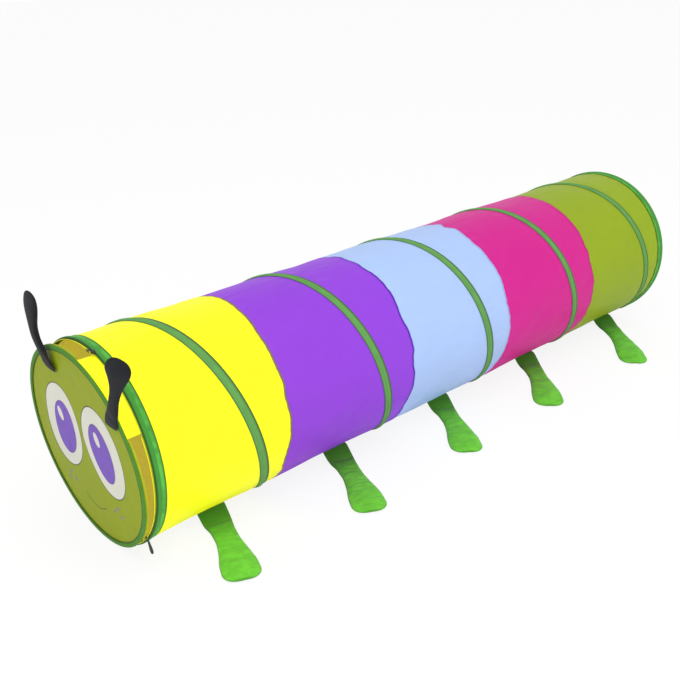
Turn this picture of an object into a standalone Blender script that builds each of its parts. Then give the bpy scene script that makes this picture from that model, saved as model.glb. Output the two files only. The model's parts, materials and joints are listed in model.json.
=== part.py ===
"""Pop-up crawl tunnel shaped like a long many-legged bug, in metres, +Z up.

Five cloth panels are stretched over one steel spring wire. The wire lies in a flat ring at the
mouth, winds through the tunnel as a long spiral under a sewn tape, and ends in a flat ring at the
tail. A round face closes the mouth: it hangs on a sewn gusset and zips round the rest of its rim.
Two padded antennae are sewn to the face, and ten padded legs to the underside of the panels.

The tunnel lies along X with its head towards -X. Every cross-section is a polygon that stands on
one flat side, so that the tunnel rests on the floor without rolling. Angles round the tunnel are
measured from the top towards -Y. Distances along the tunnel start at the mouth's front edge.
"""

import math

import bmesh
import bpy
from mathutils import Matrix, Vector

# Driving sizes of the tunnel
LENGTH = 1.84
RING_RADIUS = 0.2285
SIDES = 28
GAP = 0.0003

# Spring wire
WIRE_DIAMETER = 0.0024
WIRE_INSET = 0.0050
STRAND_GAP = 0.0008
WIRE_FIRST_STATION = 16
SPIRAL_STEPS = 137
WIRE_BEVEL_RESOLUTION = 1

# Cloth, tape and binding
CLOTH = 0.0010
TAPE = 0.0008
TAPE_WIDTH = 0.0246
ARCH_SLOPE = 0.0022
BINDING_WIDTH = 0.0240
BINDING_INNER_WIDTH = 0.0120
WAIST = 0.0070
PANEL_ROWS = 6

# Where one panel's colour ends and the next begins
SEAM_SHARES = (0.0, 0.184, 0.390, 0.586, 0.795, 1.0)

# Face
FACE_MARGIN = 0.0005
FACE_LEAN = math.radians(3.3)
FACE_BOTTOM_GAP = 0.0120
FACE_WIRE_DIAMETER = 0.0020
FACE_BINDING_DEPTH = 0.0120

# Zip
ZIP_TAPE_WIDTH = 0.0044
ZIP_TAPE = 0.0006
COIL_WIDTH = 0.0015
COIL_HEIGHT = 0.0012
ZIP_FROM = math.radians(63.5)
ZIP_TO = math.radians(370.5)
MOUTH_ZIP_STEPS = 62
FACE_ZIP_STEPS = 24
GUSSET_FROM = math.radians(12.0)
GUSSET_TO = math.radians(62.0)
GUSSET_STEPS = 4

# Zip sliders and their pulls
SLIDER_LENGTH = 0.0100
SLIDER_PLATE = 0.0009
SLIDER_CLEARANCE = 0.0005
SLIDER_GRIP = 0.0032
SLIDER_WEB = 0.0010
LUG_WIDTH = 0.0022
LUG_LENGTH = 0.0040
LUG_HEIGHT = 0.0024
TOP_SLIDER_ANGLE = math.radians(8.0)
BOTTOM_SLIDER_ANGLE = math.radians(130.0)
CORD_DIAMETER = 0.0022
CORD_LENGTH = 0.0130
BALL_DIAMETER = 0.0095
CORD_LIFT = math.radians(11.0)
TAB_LENGTH = 0.0300
TAB_WIDTH = 0.0066
TAB_THICKNESS = 0.0020
TAB_TILT = math.radians(25.0)

# Antennae
ANTENNA_LENGTH = 0.185
ANTENNA_WIDTH = 0.064
ANTENNA_THICKNESS = 0.0100

# Legs
LEG_ROOT_OFFSET = 0.0950
LEG_ROOT_WIDTH = 0.0730
LEG_FOOT_WIDTH = 0.0930
LEG_ROOT_THICKNESS = 0.0030
LEG_FOOT_THICKNESS = 0.0140

# Sizes that follow from the ones above
STEP = 2.0 * math.pi / SIDES
CLOTH_RADIUS = RING_RADIUS - WIRE_DIAMETER / 2.0 - GAP
CREST_LIFT = GAP + WIRE_DIAMETER + GAP
CREST_RADIUS = CLOTH_RADIUS + CREST_LIFT + TAPE
AXIS_HEIGHT = CREST_RADIUS * math.cos(STEP / 2.0)
ARCH_TOP = WIRE_DIAMETER / 2.0
ARCH_FOOT = ARCH_TOP + ARCH_SLOPE
CLOTH_INSET = TAPE + GAP
FACE_RADIUS = RING_RADIUS - FACE_MARGIN
FACE_HALF = FACE_WIRE_DIAMETER / 2.0 + GAP + TAPE
ZIP_RADIUS = CLOTH_RADIUS - CLOTH
COIL_RADIUS = ZIP_RADIUS + GAP + COIL_HEIGHT
LUG_REACH = math.hypot(LUG_LENGTH / 2.0, LUG_HEIGHT / 2.0)

# Sections along a leg: place, half width and thickness as shares of the leg's own sizes
LEG_SECTION_SHARES = (
    (0.00, 1.00, 0.00),
    (0.10, 0.95, 0.20),
    (0.28, 0.84, 0.55),
    (0.45, 0.80, 0.60),
    (0.62, 0.98, 0.85),
    (0.80, 1.24, 1.00),
    (0.92, 1.28, 0.85),
    (1.00, 0.98, 0.35),
)

# A leg's cross-section, flat underneath: half widths across, thicknesses up
LEG_OUTLINE_SHARES = (
    (-1.00, 0.45), (-0.78, 0.08), (-0.30, 0.00), (0.30, 0.00), (0.78, 0.08),
    (1.00, 0.45), (0.62, 0.90), (0.00, 1.00), (-0.62, 0.90),
)

# The place of each leg's root along its panel, its forward lean and its reach to the side
LEG_PLACE_SHARES = (0.583, 0.611, 0.636, 0.663, 0.738)
LEG_LEANS = (0.082, 0.106, 0.134, 0.182, 0.196)
LEG_REACHES = (0.243, 0.253, 0.238, 0.236, 0.255)
LEG_LEAN_POWER = 1.3
LEG_DROP_SHARE = 0.20

# Where an antenna has passed the face's rim and is free to bow back
ANTENNA_RIM_SHARE = 0.38

# Sections along an antenna: place, half width and thickness as shares of its own sizes
ANTENNA_SECTION_SHARES = (
    (0.00, 0.66, 0.40),
    (0.12, 0.62, 0.55),
    (0.34, 0.56, 0.65),
    (0.52, 0.66, 0.75),
    (0.68, 0.92, 0.95),
    (0.82, 1.00, 1.00),
    (0.93, 0.76, 0.80),
    (1.00, 0.30, 0.40),
)
ANTENNA_OUTLINE_SHARES = (
    (-1.00, 0.00), (-0.62, -0.80), (0.00, -1.00), (0.62, -0.80),
    (1.00, 0.00), (0.62, 0.80), (0.00, 1.00), (-0.62, 0.80),
)

# Each antenna's seat on the face, sideways and up as shares of the face's radius,
# its lean to the side and forwards, its bow back as a share of its length, and its twist
ANTENNAE = {
    "antenna_left": {
        "seat_shares": (-0.668, 0.504), "lean": math.radians(-28.0), "nod": 0.0,
        "bow_share": 0.068, "twist": math.radians(14.9),
    },
    "antenna_right": {
        "seat_shares": (0.333, 0.689), "lean": math.radians(-2.0), "nod": math.radians(10.0),
        "bow_share": 0.12, "twist": 0.0,
    },
}

PANEL_COLOURS = {
    "panel_yellow": (255, 255, 40),
    "panel_purple": (158, 62, 232),
    "panel_blue": (186, 218, 242),
    "panel_pink": (228, 62, 160),
    "panel_lime": (168, 196, 60),
}
TAPE_GREEN = (82, 172, 72)
DARK_GREEN = (58, 120, 40)
LEG_GREEN = (90, 196, 60)
ZIP_YELLOW = (240, 238, 50)
FACE_LIME = (155, 170, 42)
STEEL_GREY = (150, 152, 155)
SOFT_BLACK = (28, 28, 33)


def linear(channel):
    """Return the linear value of one 8-bit sRGB channel."""
    value = channel / 255.0
    if value <= 0.04045:
        return value / 12.92
    return ((value + 0.055) / 1.055) ** 2.4


def make_material(name, colour, roughness, metallic=0.0):
    """Make a Principled material from an 8-bit sRGB colour."""
    material = bpy.data.materials.new(name)
    material.use_nodes = True
    shader = material.node_tree.nodes["Principled BSDF"]
    rgba = tuple(linear(channel) for channel in colour) + (1.0,)
    shader.inputs["Base Color"].default_value = rgba
    shader.inputs["Roughness"].default_value = roughness
    shader.inputs["Metallic"].default_value = metallic
    material.diffuse_color = rgba
    return material


def clear_scene():
    """Remove every object, so that the script starts from nothing."""
    for item in list(bpy.data.objects):
        bpy.data.objects.remove(item, do_unlink=True)


class Assembly:
    """The collection of named pieces, hung on one empty."""

    def __init__(self, name):
        self.collection = bpy.data.collections.new(name)
        bpy.context.scene.collection.children.link(self.collection)
        self.root = self.pivot(name + "_origin", Matrix.Identity(4))

    def pivot(self, name, matrix, parent=None):
        """Add an empty that stands on a joint's axis."""
        empty = bpy.data.objects.new(name, None)
        empty.empty_display_size = RING_RADIUS / SIDES
        self.collection.objects.link(empty)
        self.hang(empty, matrix, parent)
        return empty

    def piece(self, name, data, matrix, colour, roughness, metallic=0.0, parent=None):
        """Add one physical piece with its own material."""
        item = bpy.data.objects.new(name, data)
        self.collection.objects.link(item)
        item.data.materials.append(make_material(name, colour, roughness, metallic))
        self.hang(item, matrix, parent or self.root)
        return item

    def hang(self, item, matrix, parent):
        """Hang an object on its parent and keep its place."""
        item.parent = parent
        if parent is not None:
            bpy.context.view_layer.update()
            item.matrix_parent_inverse = parent.matrix_world.inverted()
        item.matrix_basis = matrix

    def pieces(self):
        """Return the physical pieces, without the empties."""
        return [item for item in self.collection.objects if item.type != "EMPTY"]


def station_angle(station):
    """Return the angle of one corner of the polygon round the tunnel."""
    return (station + 0.5) * STEP


def ring_point(x, radius, angle):
    """Return the point at a distance along the tunnel, a radius and an angle."""
    y = -radius * math.sin(angle)
    z = AXIS_HEIGHT + radius * math.cos(angle)
    return Vector((x, y, z))


def mesh_from(name, builder):
    """Turn a bmesh into a mesh whose faces all point outwards."""
    bmesh.ops.remove_doubles(builder, verts=builder.verts, dist=GAP / 30.0)
    bmesh.ops.recalc_face_normals(builder, faces=builder.faces)
    mesh = bpy.data.meshes.new(name)
    builder.to_mesh(mesh)
    builder.free()
    mesh.shade_smooth()
    mesh.set_sharp_from_angle(angle=math.radians(40.0))
    return mesh


def lofted(name, sections, closed=False):
    """Join rings of points into one solid, capped at its ends unless it closes on itself."""
    builder = bmesh.new()
    rings = [[builder.verts.new(point) for point in section] for section in sections]
    count = len(rings[0])
    pairs = list(zip(rings, rings[1:]))
    if closed:
        pairs.append((rings[-1], rings[0]))
    for near, far in pairs:
        for i in range(count):
            j = (i + 1) % count
            builder.faces.new((near[i], near[j], far[j], far[i]))
    if not closed:
        builder.faces.new(rings[0])
        builder.faces.new(reversed(rings[-1]))
    return mesh_from(name, builder)


def turned(name, profile, start=STEP / 2.0, turn=2.0 * math.pi, steps=SIDES):
    """Turn a closed profile of (x, radius) points about the X axis."""
    builder = bmesh.new()
    corners = []
    for x, radius in profile:
        y = -radius * math.sin(start)
        z = radius * math.cos(start)
        corners.append(builder.verts.new((x, y, z)))
    face = builder.faces.new(corners)
    whole = abs(turn - 2.0 * math.pi) < STEP / SIDES
    geometry = list(face.edges) + list(face.verts)
    if not whole:
        geometry.append(face)
    bmesh.ops.spin(
        builder, geom=geometry, cent=(0.0, 0.0, 0.0), axis=(1.0, 0.0, 0.0),
        angle=turn, steps=steps,
    )
    if whole:
        builder.faces.remove(face)
    return mesh_from(name, builder)


def ring_tube(name, radius, thickness):
    """Turn a small hexagon into a ring of round wire."""
    profile = []
    for corner in range(6):
        angle = math.pi * corner / 3.0
        x = thickness / 2.0 * math.cos(angle)
        profile.append((x, radius + thickness / 2.0 * math.sin(angle)))
    return turned(name, profile)


def wire_route():
    """Return the station and place of each point of the spring wire.

    The wire makes one flat turn at the mouth and one at the tail, each just wide enough to pass
    beside its own end. Between them it climbs at a steady pitch, with a half step at each end.
    """
    flat_rise = (WIRE_DIAMETER + STRAND_GAP) / SIDES
    weights = [0.0] * SIDES + [0.5] + [1.0] * (SPIRAL_STEPS - 2) + [0.5] + [0.0] * SIDES
    run = LENGTH - 2.0 * WIRE_INSET - flat_rise * len(weights)
    climb = run / sum(weights)
    x = WIRE_INSET
    route = [(WIRE_FIRST_STATION, x)]
    for count, weight in enumerate(weights, start=1):
        x += flat_rise + climb * weight
        route.append((WIRE_FIRST_STATION + count, x))
    return route


def spiral_part(route):
    """Return the stretch of the route between the two flat turns, both ends included."""
    return route[SIDES:len(route) - SIDES]


def wire_self_gap(route):
    """Return the least gap between neighbouring strands of the wire."""
    gaps = [later[1] - sooner[1] for sooner, later in zip(route, route[SIDES:])]
    return min(gaps) - WIRE_DIAMETER


def wires_at(route, station):
    """Return where the wire crosses one corner line of the tunnel, mouth to tail."""
    return [x for place, x in route if (place - station) % SIDES == 0]


def cloth_radius(crossings, x):
    """Return the cloth's radius, which draws in between two turns of the wire."""
    pitch = LENGTH * SIDES / SPIRAL_STEPS
    first, last = bound_edges()
    for ahead, behind in zip(crossings, crossings[1:]):
        start = max(ahead, first)
        span = min(behind, last) - start
        if span > 0.0 and start <= x <= start + span:
            depth = WAIST * min(1.0, span / pitch)
            return CLOTH_RADIUS - depth * math.sin(math.pi * (x - start) / span) ** 2
    return CLOTH_RADIUS


def bound_edges():
    """Return where the bindings' inner legs let go of the cloth, at the mouth and at the tail."""
    return BINDING_INNER_WIDTH + GAP, LENGTH - BINDING_INNER_WIDTH - GAP


def panel_rows(low, high):
    """Return where a panel has a row of corners: evenly, and at a binding's inner edge."""
    rows = [low + (high - low) * row / PANEL_ROWS for row in range(PANEL_ROWS + 1)]
    rows += [edge for edge in bound_edges() if low < edge < high]
    return sorted(rows)


def make_wire(assembly, route):
    """Make the spring wire as one unbroken tube."""
    curve = bpy.data.curves.new("spring_wire", "CURVE")
    curve.dimensions = "3D"
    curve.bevel_depth = WIRE_DIAMETER / 2.0
    curve.bevel_resolution = WIRE_BEVEL_RESOLUTION
    curve.use_fill_caps = True
    spline = curve.splines.new("POLY")
    spline.points.add(len(route) - 1)
    for point, (station, x) in zip(spline.points, route):
        place = ring_point(x, RING_RADIUS, station_angle(station))
        point.co = (place.x, place.y, place.z, 1.0)
    assembly.piece("spring_wire", curve, Matrix.Identity(4), STEEL_GREY, 0.35, 1.0)
    print("least gap of the spring wire to itself, in metres:", round(wire_self_gap(route), 5))


def make_panels(assembly, route):
    """Make the five cloth panels, each a thin shell that waists between the wire's turns."""
    panels = []
    crossings = [wires_at(route, station) for station in range(SIDES)]
    run = LENGTH - 2.0 * CLOTH_INSET
    for index, (name, colour) in enumerate(PANEL_COLOURS.items()):
        low = CLOTH_INSET + run * SEAM_SHARES[index]
        high = CLOTH_INSET + run * SEAM_SHARES[index + 1]
        if index > 0:
            low += GAP / 2.0
        if index < len(PANEL_COLOURS) - 1:
            high -= GAP / 2.0
        builder = bmesh.new()
        rows = []
        for x in panel_rows(low, high):
            points = []
            for station in range(SIDES):
                radius = cloth_radius(crossings[station], x)
                points.append(builder.verts.new(ring_point(x, radius, station_angle(station))))
            rows.append(points)
        for near, far in zip(rows, rows[1:]):
            for i in range(SIDES):
                j = (i + 1) % SIDES
                builder.faces.new((near[i], near[j], far[j], far[i]))
        mesh = bpy.data.meshes.new(name)
        builder.to_mesh(mesh)
        builder.free()
        panel = assembly.piece(name, mesh, Matrix.Identity(4), colour, 0.45)
        shell = panel.modifiers.new("cloth", "SOLIDIFY")
        shell.thickness = CLOTH
        shell.offset = -1.0
        shell.use_even_offset = True
        panels.append(panel)
    return panels


def humped_stations(spiral):
    """Return the corner lines where the wire passes under the mouth binding's rear wing."""
    humped = set()
    for station, x in spiral:
        humped.add(station % SIDES)
        if x - WIRE_DIAMETER / 2.0 - GAP > BINDING_WIDTH:
            return humped
    return humped


def binding_profile(humped):
    """Return a binding's section as distances in from the tunnel's end and lifts off the cloth.

    The binding wraps the cloth's edge. Its outer leg arches over the two strands of the flat
    turn. Where the spiral leaves the flat turn, the whole outer leg is lifted over the wire.
    """
    arch_end = WIRE_INSET + WIRE_DIAMETER + STRAND_GAP + ARCH_TOP
    arch_foot = arch_end + ARCH_SLOPE
    wing = CREST_LIFT if humped else GAP
    under = -CLOTH - GAP
    return (
        (0.0, CREST_LIFT + TAPE),
        (arch_end, CREST_LIFT + TAPE),
        (arch_foot, wing + TAPE),
        (BINDING_WIDTH, wing + TAPE),
        (BINDING_WIDTH, wing),
        (arch_foot, wing),
        (arch_end, CREST_LIFT),
        (TAPE, CREST_LIFT),
        (TAPE, under),
        (BINDING_INNER_WIDTH, under),
        (BINDING_INNER_WIDTH, under - TAPE),
        (0.0, under - TAPE),
    )


def make_binding(assembly, name, spiral, at_tail):
    """Make the green binding round the mouth or the tail."""
    inward = [(station, LENGTH - x) for station, x in reversed(spiral)] if at_tail else spiral
    humped = humped_stations(inward)
    sections = []
    for station in range(SIDES):
        section = []
        for distance, lift in binding_profile(station in humped):
            x = LENGTH - distance if at_tail else distance
            section.append(ring_point(x, CLOTH_RADIUS + lift, station_angle(station)))
        sections.append(section)
    mesh = lofted(name, sections, closed=True)
    return assembly.piece(name, mesh, Matrix.Identity(4), TAPE_GREEN, 0.6)


def make_spiral_tape(assembly, spiral):
    """Make the sewn tape that arches over the spiral part of the wire."""
    front = BINDING_WIDTH + GAP
    rear = LENGTH - BINDING_WIDTH - GAP
    sections = []
    for station, x in spiral:
        if x - ARCH_FOOT < front or x + ARCH_FOOT > rear:
            continue
        edges = (
            (max(x - TAPE_WIDTH / 2.0, front), GAP),
            (x - ARCH_FOOT, GAP),
            (x - ARCH_TOP, CREST_LIFT),
            (x + ARCH_TOP, CREST_LIFT),
            (x + ARCH_FOOT, GAP),
            (min(x + TAPE_WIDTH / 2.0, rear), GAP),
        )
        outline = [(place, lift + TAPE) for place, lift in edges] + list(reversed(edges))
        angle = station_angle(station)
        sections.append([ring_point(u, CLOTH_RADIUS + lift, angle) for u, lift in outline])
    mesh = lofted("spiral_tape", sections)
    assembly.piece("spiral_tape", mesh, Matrix.Identity(4), TAPE_GREEN, 0.6)


def face_frame():
    """Return the face's own frame: X along its axis, its top leaning out from the mouth."""
    lean = FACE_RADIUS * math.sin(FACE_LEAN) + FACE_HALF * math.cos(FACE_LEAN)
    centre = Vector((-FACE_BOTTOM_GAP - lean, 0.0, AXIS_HEIGHT))
    return Matrix.Translation(centre) @ Matrix.Rotation(-FACE_LEAN, 4, "Y")


def tunnel_frame():
    """Return the frame of what turns about the tunnel's own axis."""
    return Matrix.Translation(Vector((0.0, 0.0, AXIS_HEIGHT)))


def make_face(assembly, hinge):
    """Make the face's cloth disc, its hidden hoop of wire and its binding."""
    frame = face_frame()
    hoop_radius = FACE_RADIUS - TAPE - GAP - FACE_WIRE_DIAMETER / 2.0
    disc_radius = hoop_radius - FACE_WIRE_DIAMETER / 2.0 - GAP
    inside = FACE_HALF - TAPE
    root = FACE_RADIUS - FACE_BINDING_DEPTH

    builder = bmesh.new()
    bmesh.ops.create_cone(
        builder, cap_ends=True, segments=SIDES, radius1=disc_radius, radius2=disc_radius,
        depth=CLOTH, matrix=Matrix.Rotation(math.pi / 2.0, 4, "Y") @ Matrix.Rotation(STEP / 2.0, 4, "Z"),
    )
    disc = mesh_from("face_panel", builder)
    assembly.piece("face_panel", disc, frame, FACE_LIME, 0.5, parent=hinge)

    hoop = ring_tube("face_hoop", hoop_radius, FACE_WIRE_DIAMETER)
    assembly.piece("face_hoop", hoop, frame, STEEL_GREY, 0.35, 1.0, parent=hinge)

    lip = CLOTH / 2.0 + GAP
    profile = (
        (-FACE_HALF, FACE_RADIUS), (FACE_HALF, FACE_RADIUS),
        (FACE_HALF, disc_radius), (lip + TAPE, root),
        (lip, root), (inside, disc_radius), (inside, FACE_RADIUS - TAPE),
        (-inside, FACE_RADIUS - TAPE), (-inside, disc_radius), (-lip, root),
        (-lip - TAPE, root), (-FACE_HALF, disc_radius),
    )
    binding = turned("face_binding", profile)
    assembly.piece("face_binding", binding, frame, DARK_GREEN, 0.6, parent=hinge)


def make_zip_half(assembly, prefix, frame, base, inner, direction, steps, parent):
    """Make one side of the zip: its tape, and the coil sewn along the tape's free edge.

    The tape starts at base and runs in the given direction along X to its free edge.
    """
    edge = base + direction * ZIP_TAPE_WIDTH
    back = edge - direction * COIL_WIDTH
    turn = ZIP_TO - ZIP_FROM
    tape_profile = (
        (base, inner), (edge, inner), (edge, inner - ZIP_TAPE), (base, inner - ZIP_TAPE),
    )
    coil_low = inner + GAP
    coil_profile = (
        (back, coil_low), (edge, coil_low),
        (edge, coil_low + COIL_HEIGHT), (back, coil_low + COIL_HEIGHT),
    )
    tape = turned(prefix + "_zip_tape", tape_profile, ZIP_FROM, turn, steps)
    coil = turned(prefix + "_zip_coil", coil_profile, ZIP_FROM, turn, steps)
    colour = ZIP_YELLOW if prefix == "mouth" else FACE_LIME
    assembly.piece(prefix + "_zip_tape", tape, frame, colour, 0.6, parent=parent)
    assembly.piece(prefix + "_zip_coil", coil, frame, colour, 0.4, parent=parent)


def make_gusset(assembly):
    """Make the sewn strip that carries the face on the mouth's binding."""
    frame = face_frame()
    normal = frame.to_3x3() @ Vector((1.0, 0.0, 0.0))
    back = frame @ Vector((FACE_HALF + GAP, 0.0, 0.0))
    sections = []
    for step in range(GUSSET_STEPS + 1):
        angle = GUSSET_FROM + (GUSSET_TO - GUSSET_FROM) * step / GUSSET_STEPS
        section = []
        for radius in (ZIP_RADIUS, ZIP_RADIUS - TAPE):
            ahead = ring_point(0.0, radius, angle)
            ahead.x = back.x - (ahead - back).dot(normal) / normal.x + (ahead.x - back.x)
            behind = ring_point(-GAP, radius, angle)
            corners = [ahead, behind]
            if radius < ZIP_RADIUS:
                corners.reverse()
            section.extend(corners)
        sections.append(section)
    mesh = lofted("hinge_gusset", sections)
    assembly.piece("hinge_gusset", mesh, Matrix.Identity(4), ZIP_YELLOW, 0.5)


def slider_section():
    """Return a slider's section in distances from the mouth and radii: a clamp round the coil."""
    edge = -GAP - ZIP_TAPE_WIDTH
    nose = edge - SLIDER_CLEARANCE - SLIDER_WEB
    slot = edge - SLIDER_CLEARANCE
    mouth = edge + SLIDER_GRIP
    top = COIL_RADIUS + SLIDER_CLEARANCE
    low = ZIP_RADIUS - ZIP_TAPE - SLIDER_CLEARANCE
    lug_from = (nose + mouth - LUG_WIDTH) / 2.0
    lug_to = lug_from + LUG_WIDTH
    clamp = (
        (nose, low - SLIDER_PLATE), (mouth, low - SLIDER_PLATE), (mouth, low), (slot, low),
        (slot, top), (mouth, top), (mouth, top + SLIDER_PLATE), (nose, top + SLIDER_PLATE),
    )
    return clamp, (lug_from, lug_to), top + SLIDER_PLATE


def make_slider(assembly, name, angle):
    """Make one zip slider, which travels round the mouth's coil, and return its pull's pivot."""
    clamp, lug, top = slider_section()
    turn = Matrix.Rotation(angle, 4, "X")
    frame = tunnel_frame() @ turn
    half = SLIDER_LENGTH / 2.0
    sections = [[Vector((x, side * half, radius)) for x, radius in clamp] for side in (-1, 1)]
    mesh = lofted(name, sections)
    pivot = assembly.pivot(name + "_pivot", tunnel_frame(), assembly.root)
    slider = assembly.piece(name, mesh, frame, STEEL_GREY, 0.35, 1.0, parent=pivot)

    builder = bmesh.new()
    bmesh.ops.create_cube(builder, size=1.0)
    depth = LUG_HEIGHT + SLIDER_PLATE / 2.0
    size = (lug[1] - lug[0], LUG_LENGTH, depth)
    bmesh.ops.scale(builder, vec=size, verts=builder.verts)
    middle = Vector(((lug[0] + lug[1]) / 2.0, 0.0, top + LUG_HEIGHT - depth / 2.0))
    bmesh.ops.translate(builder, vec=middle, verts=builder.verts)
    cutter = bpy.data.objects.new(name + "_lug", mesh_from(name + "_lug", builder))
    guides = guide_collection()
    guides.objects.link(cutter)
    assembly.hang(cutter, frame, pivot)
    cutter.hide_render = True
    cutter.display_type = "WIRE"
    union = slider.modifiers.new("lug", "BOOLEAN")
    union.operation = "UNION"
    union.object = cutter
    eye = frame @ Vector((middle.x, 0.0, top + LUG_HEIGHT / 2.0))
    return pivot, eye


def guide_collection():
    """Return the collection of shapes that only cut or join others."""
    name = "guides"
    if name not in bpy.data.collections:
        guides = bpy.data.collections.new(name)
        bpy.context.scene.collection.children.link(guides)
    return bpy.data.collections[name]


def make_cord_pull(assembly, name, slider, eye, angle):
    """Make the cord pull with its ball, lying along the rim away from the slider."""
    start = LUG_REACH + GAP
    ball = BALL_DIAMETER / 2.0
    cord = CORD_DIAMETER / 2.0
    profile = [(start, cord)]
    reach = math.sqrt(ball ** 2 - cord ** 2)
    centre = start + CORD_LENGTH + reach
    steps = 6
    first = math.atan2(cord, -reach)
    for step in range(steps):
        turn = first * (1.0 - step / steps)
        profile.append((centre + ball * math.cos(turn), ball * math.sin(turn)))
    sections = []
    for x, radius in profile:
        ring = []
        for side in range(8):
            spin = math.pi * side / 4.0
            ring.append(Vector((radius * math.cos(spin), x, radius * math.sin(spin))))
        sections.append(ring)
    mesh = lofted(name, sections)
    pivot = assembly.pivot(name + "_pivot", Matrix.Translation(eye), slider)
    turn = Matrix.Rotation(angle + math.pi - CORD_LIFT, 4, "X")
    frame = Matrix.Translation(eye) @ turn
    assembly.piece(name, mesh, frame, SOFT_BLACK, 0.4, parent=pivot)


def make_tab_pull(assembly, name, slider, eye):
    """Make the moulded tab pull, hanging from the slider and tilted out from the tunnel."""
    start = LUG_REACH + GAP
    half = TAB_WIDTH / 2.0
    shares = ((0.0, 0.55, 0.8), (0.25, 0.8, 1.0), (0.7, 1.0, 1.0), (1.0, 0.5, 0.7))
    sections = []
    for place, width, thickness in shares:
        z = -start - TAB_LENGTH * place
        deep = TAB_THICKNESS / 2.0 * thickness
        wide = half * width
        corners = ((-wide, -deep), (wide, -deep), (wide, deep), (-wide, deep))
        sections.append([Vector((x, y, z)) for x, y in corners])
    mesh = lofted(name, sections)
    pivot = assembly.pivot(name + "_pivot", Matrix.Translation(eye), slider)
    frame = Matrix.Translation(eye) @ Matrix.Rotation(-TAB_TILT, 4, "X")
    assembly.piece(name, mesh, frame, SOFT_BLACK, 0.4, parent=pivot)


def make_antenna(assembly, name, spec, hinge):
    """Make one padded antenna, sewn to the front of the face by its lower end."""
    frame = face_frame()
    side, rise = (share * FACE_RADIUS for share in spec["seat_shares"])
    cloth_front = -CLOTH / 2.0 - GAP
    binding_front = -FACE_HALF - GAP
    seat = frame @ Vector((cloth_front, side, rise))
    tip_lean = math.tan(spec["lean"])
    tip_nod = math.tan(spec["nod"])
    sections = []
    for place, width, thickness in ANTENNA_SECTION_SHARES:
        along = ANTENNA_LENGTH * place
        back = binding_front - cloth_front if place > 0.0 else 0.0
        past_rim = max(0.0, (place - ANTENNA_RIM_SHARE) / (1.0 - ANTENNA_RIM_SHARE))
        back += ANTENNA_LENGTH * spec["bow_share"] * past_rim ** 2
        twist = Matrix.Rotation(spec["twist"] * place, 3, "Z")
        outline = []
        for across, deep in ANTENNA_OUTLINE_SHARES:
            y = across * width * ANTENNA_WIDTH / 2.0
            x = deep * thickness * ANTENNA_THICKNESS / 2.0
            outline.append(twist @ Vector((x, y, 0.0)))
        rearmost = max(point.x for point in outline)
        centre = Vector((back - along * tip_nod - rearmost, along * tip_lean, along))
        sections.append([centre + point for point in outline])
    mesh = lofted(name, sections)
    pivot = assembly.pivot(name + "_pivot", Matrix.Translation(seat), hinge)
    turn = Matrix.Rotation(-FACE_LEAN, 4, "Y")
    assembly.piece(name, mesh, Matrix.Translation(seat) @ turn, SOFT_BLACK, 0.7, parent=pivot)


def underside(panel, x, y):
    """Return the height of a panel's outer surface straight above a point of the floor."""
    bpy.context.view_layer.update()
    graph = bpy.context.evaluated_depsgraph_get()
    shell = panel.evaluated_get(graph)
    hit, place, _, _ = shell.ray_cast(Vector((x, y, -GAP)), Vector((0.0, 0.0, 1.0)))
    if not hit:
        raise ValueError("no cloth above the leg's root")
    return place.z


def make_leg(assembly, name, panel, index, side):
    """Make one padded leg, sewn under its panel and lying on the floor."""
    run = LENGTH - 2.0 * CLOTH_INSET
    low, high = (CLOTH_INSET + run * SEAM_SHARES[index + end] for end in (0, 1))
    root_x = low + (high - low) * LEG_PLACE_SHARES[index]
    root_y = side * LEG_ROOT_OFFSET
    half = LEG_ROOT_WIDTH / 2.0
    front, rear = (underside(panel, root_x + end * half, root_y) for end in (-1.0, 1.0))
    tilt = (rear - front) / (2.0 * half)
    seat = math.inf
    for across, up in LEG_OUTLINE_SHARES:
        offset = across * half
        above = underside(panel, root_x + offset, root_y) - offset * tilt
        seat = min(seat, above + (1.0 - up) * LEG_ROOT_THICKNESS - GAP)
    growth = LEG_FOOT_THICKNESS - LEG_ROOT_THICKNESS
    swell = LEG_FOOT_WIDTH / (LEG_ROOT_WIDTH * max(row[1] for row in LEG_SECTION_SHARES))
    sections = []
    for place, width, thickness in LEG_SECTION_SHARES:
        lean = LEG_LEANS[index] * place ** LEG_LEAN_POWER
        slope = LEG_LEANS[index] * LEG_LEAN_POWER * place ** (LEG_LEAN_POWER - 1.0)
        heading = math.atan2(slope, LEG_REACHES[index])
        drop = max(0.0, 1.0 - place / LEG_DROP_SHARE)
        deep = LEG_ROOT_THICKNESS + growth * thickness
        floor = (seat - LEG_ROOT_THICKNESS) * drop
        grow = 1.0 + (swell - 1.0) * place
        section = []
        for across, up in LEG_OUTLINE_SHARES:
            offset = across * width * grow * half
            x = -lean + offset * math.cos(heading)
            y = side * (LEG_REACHES[index] * place + offset * math.sin(heading))
            z = floor + up * deep + offset * tilt * drop
            section.append(Vector((x, y, z - seat)))
        sections.append(section)
    mesh = lofted(name, sections)
    place = Matrix.Translation(Vector((root_x, root_y, seat)))
    pivot = assembly.pivot(name + "_pivot", place, assembly.root)
    assembly.piece(name, mesh, place, LEG_GREEN, 0.7, parent=pivot)


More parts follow.
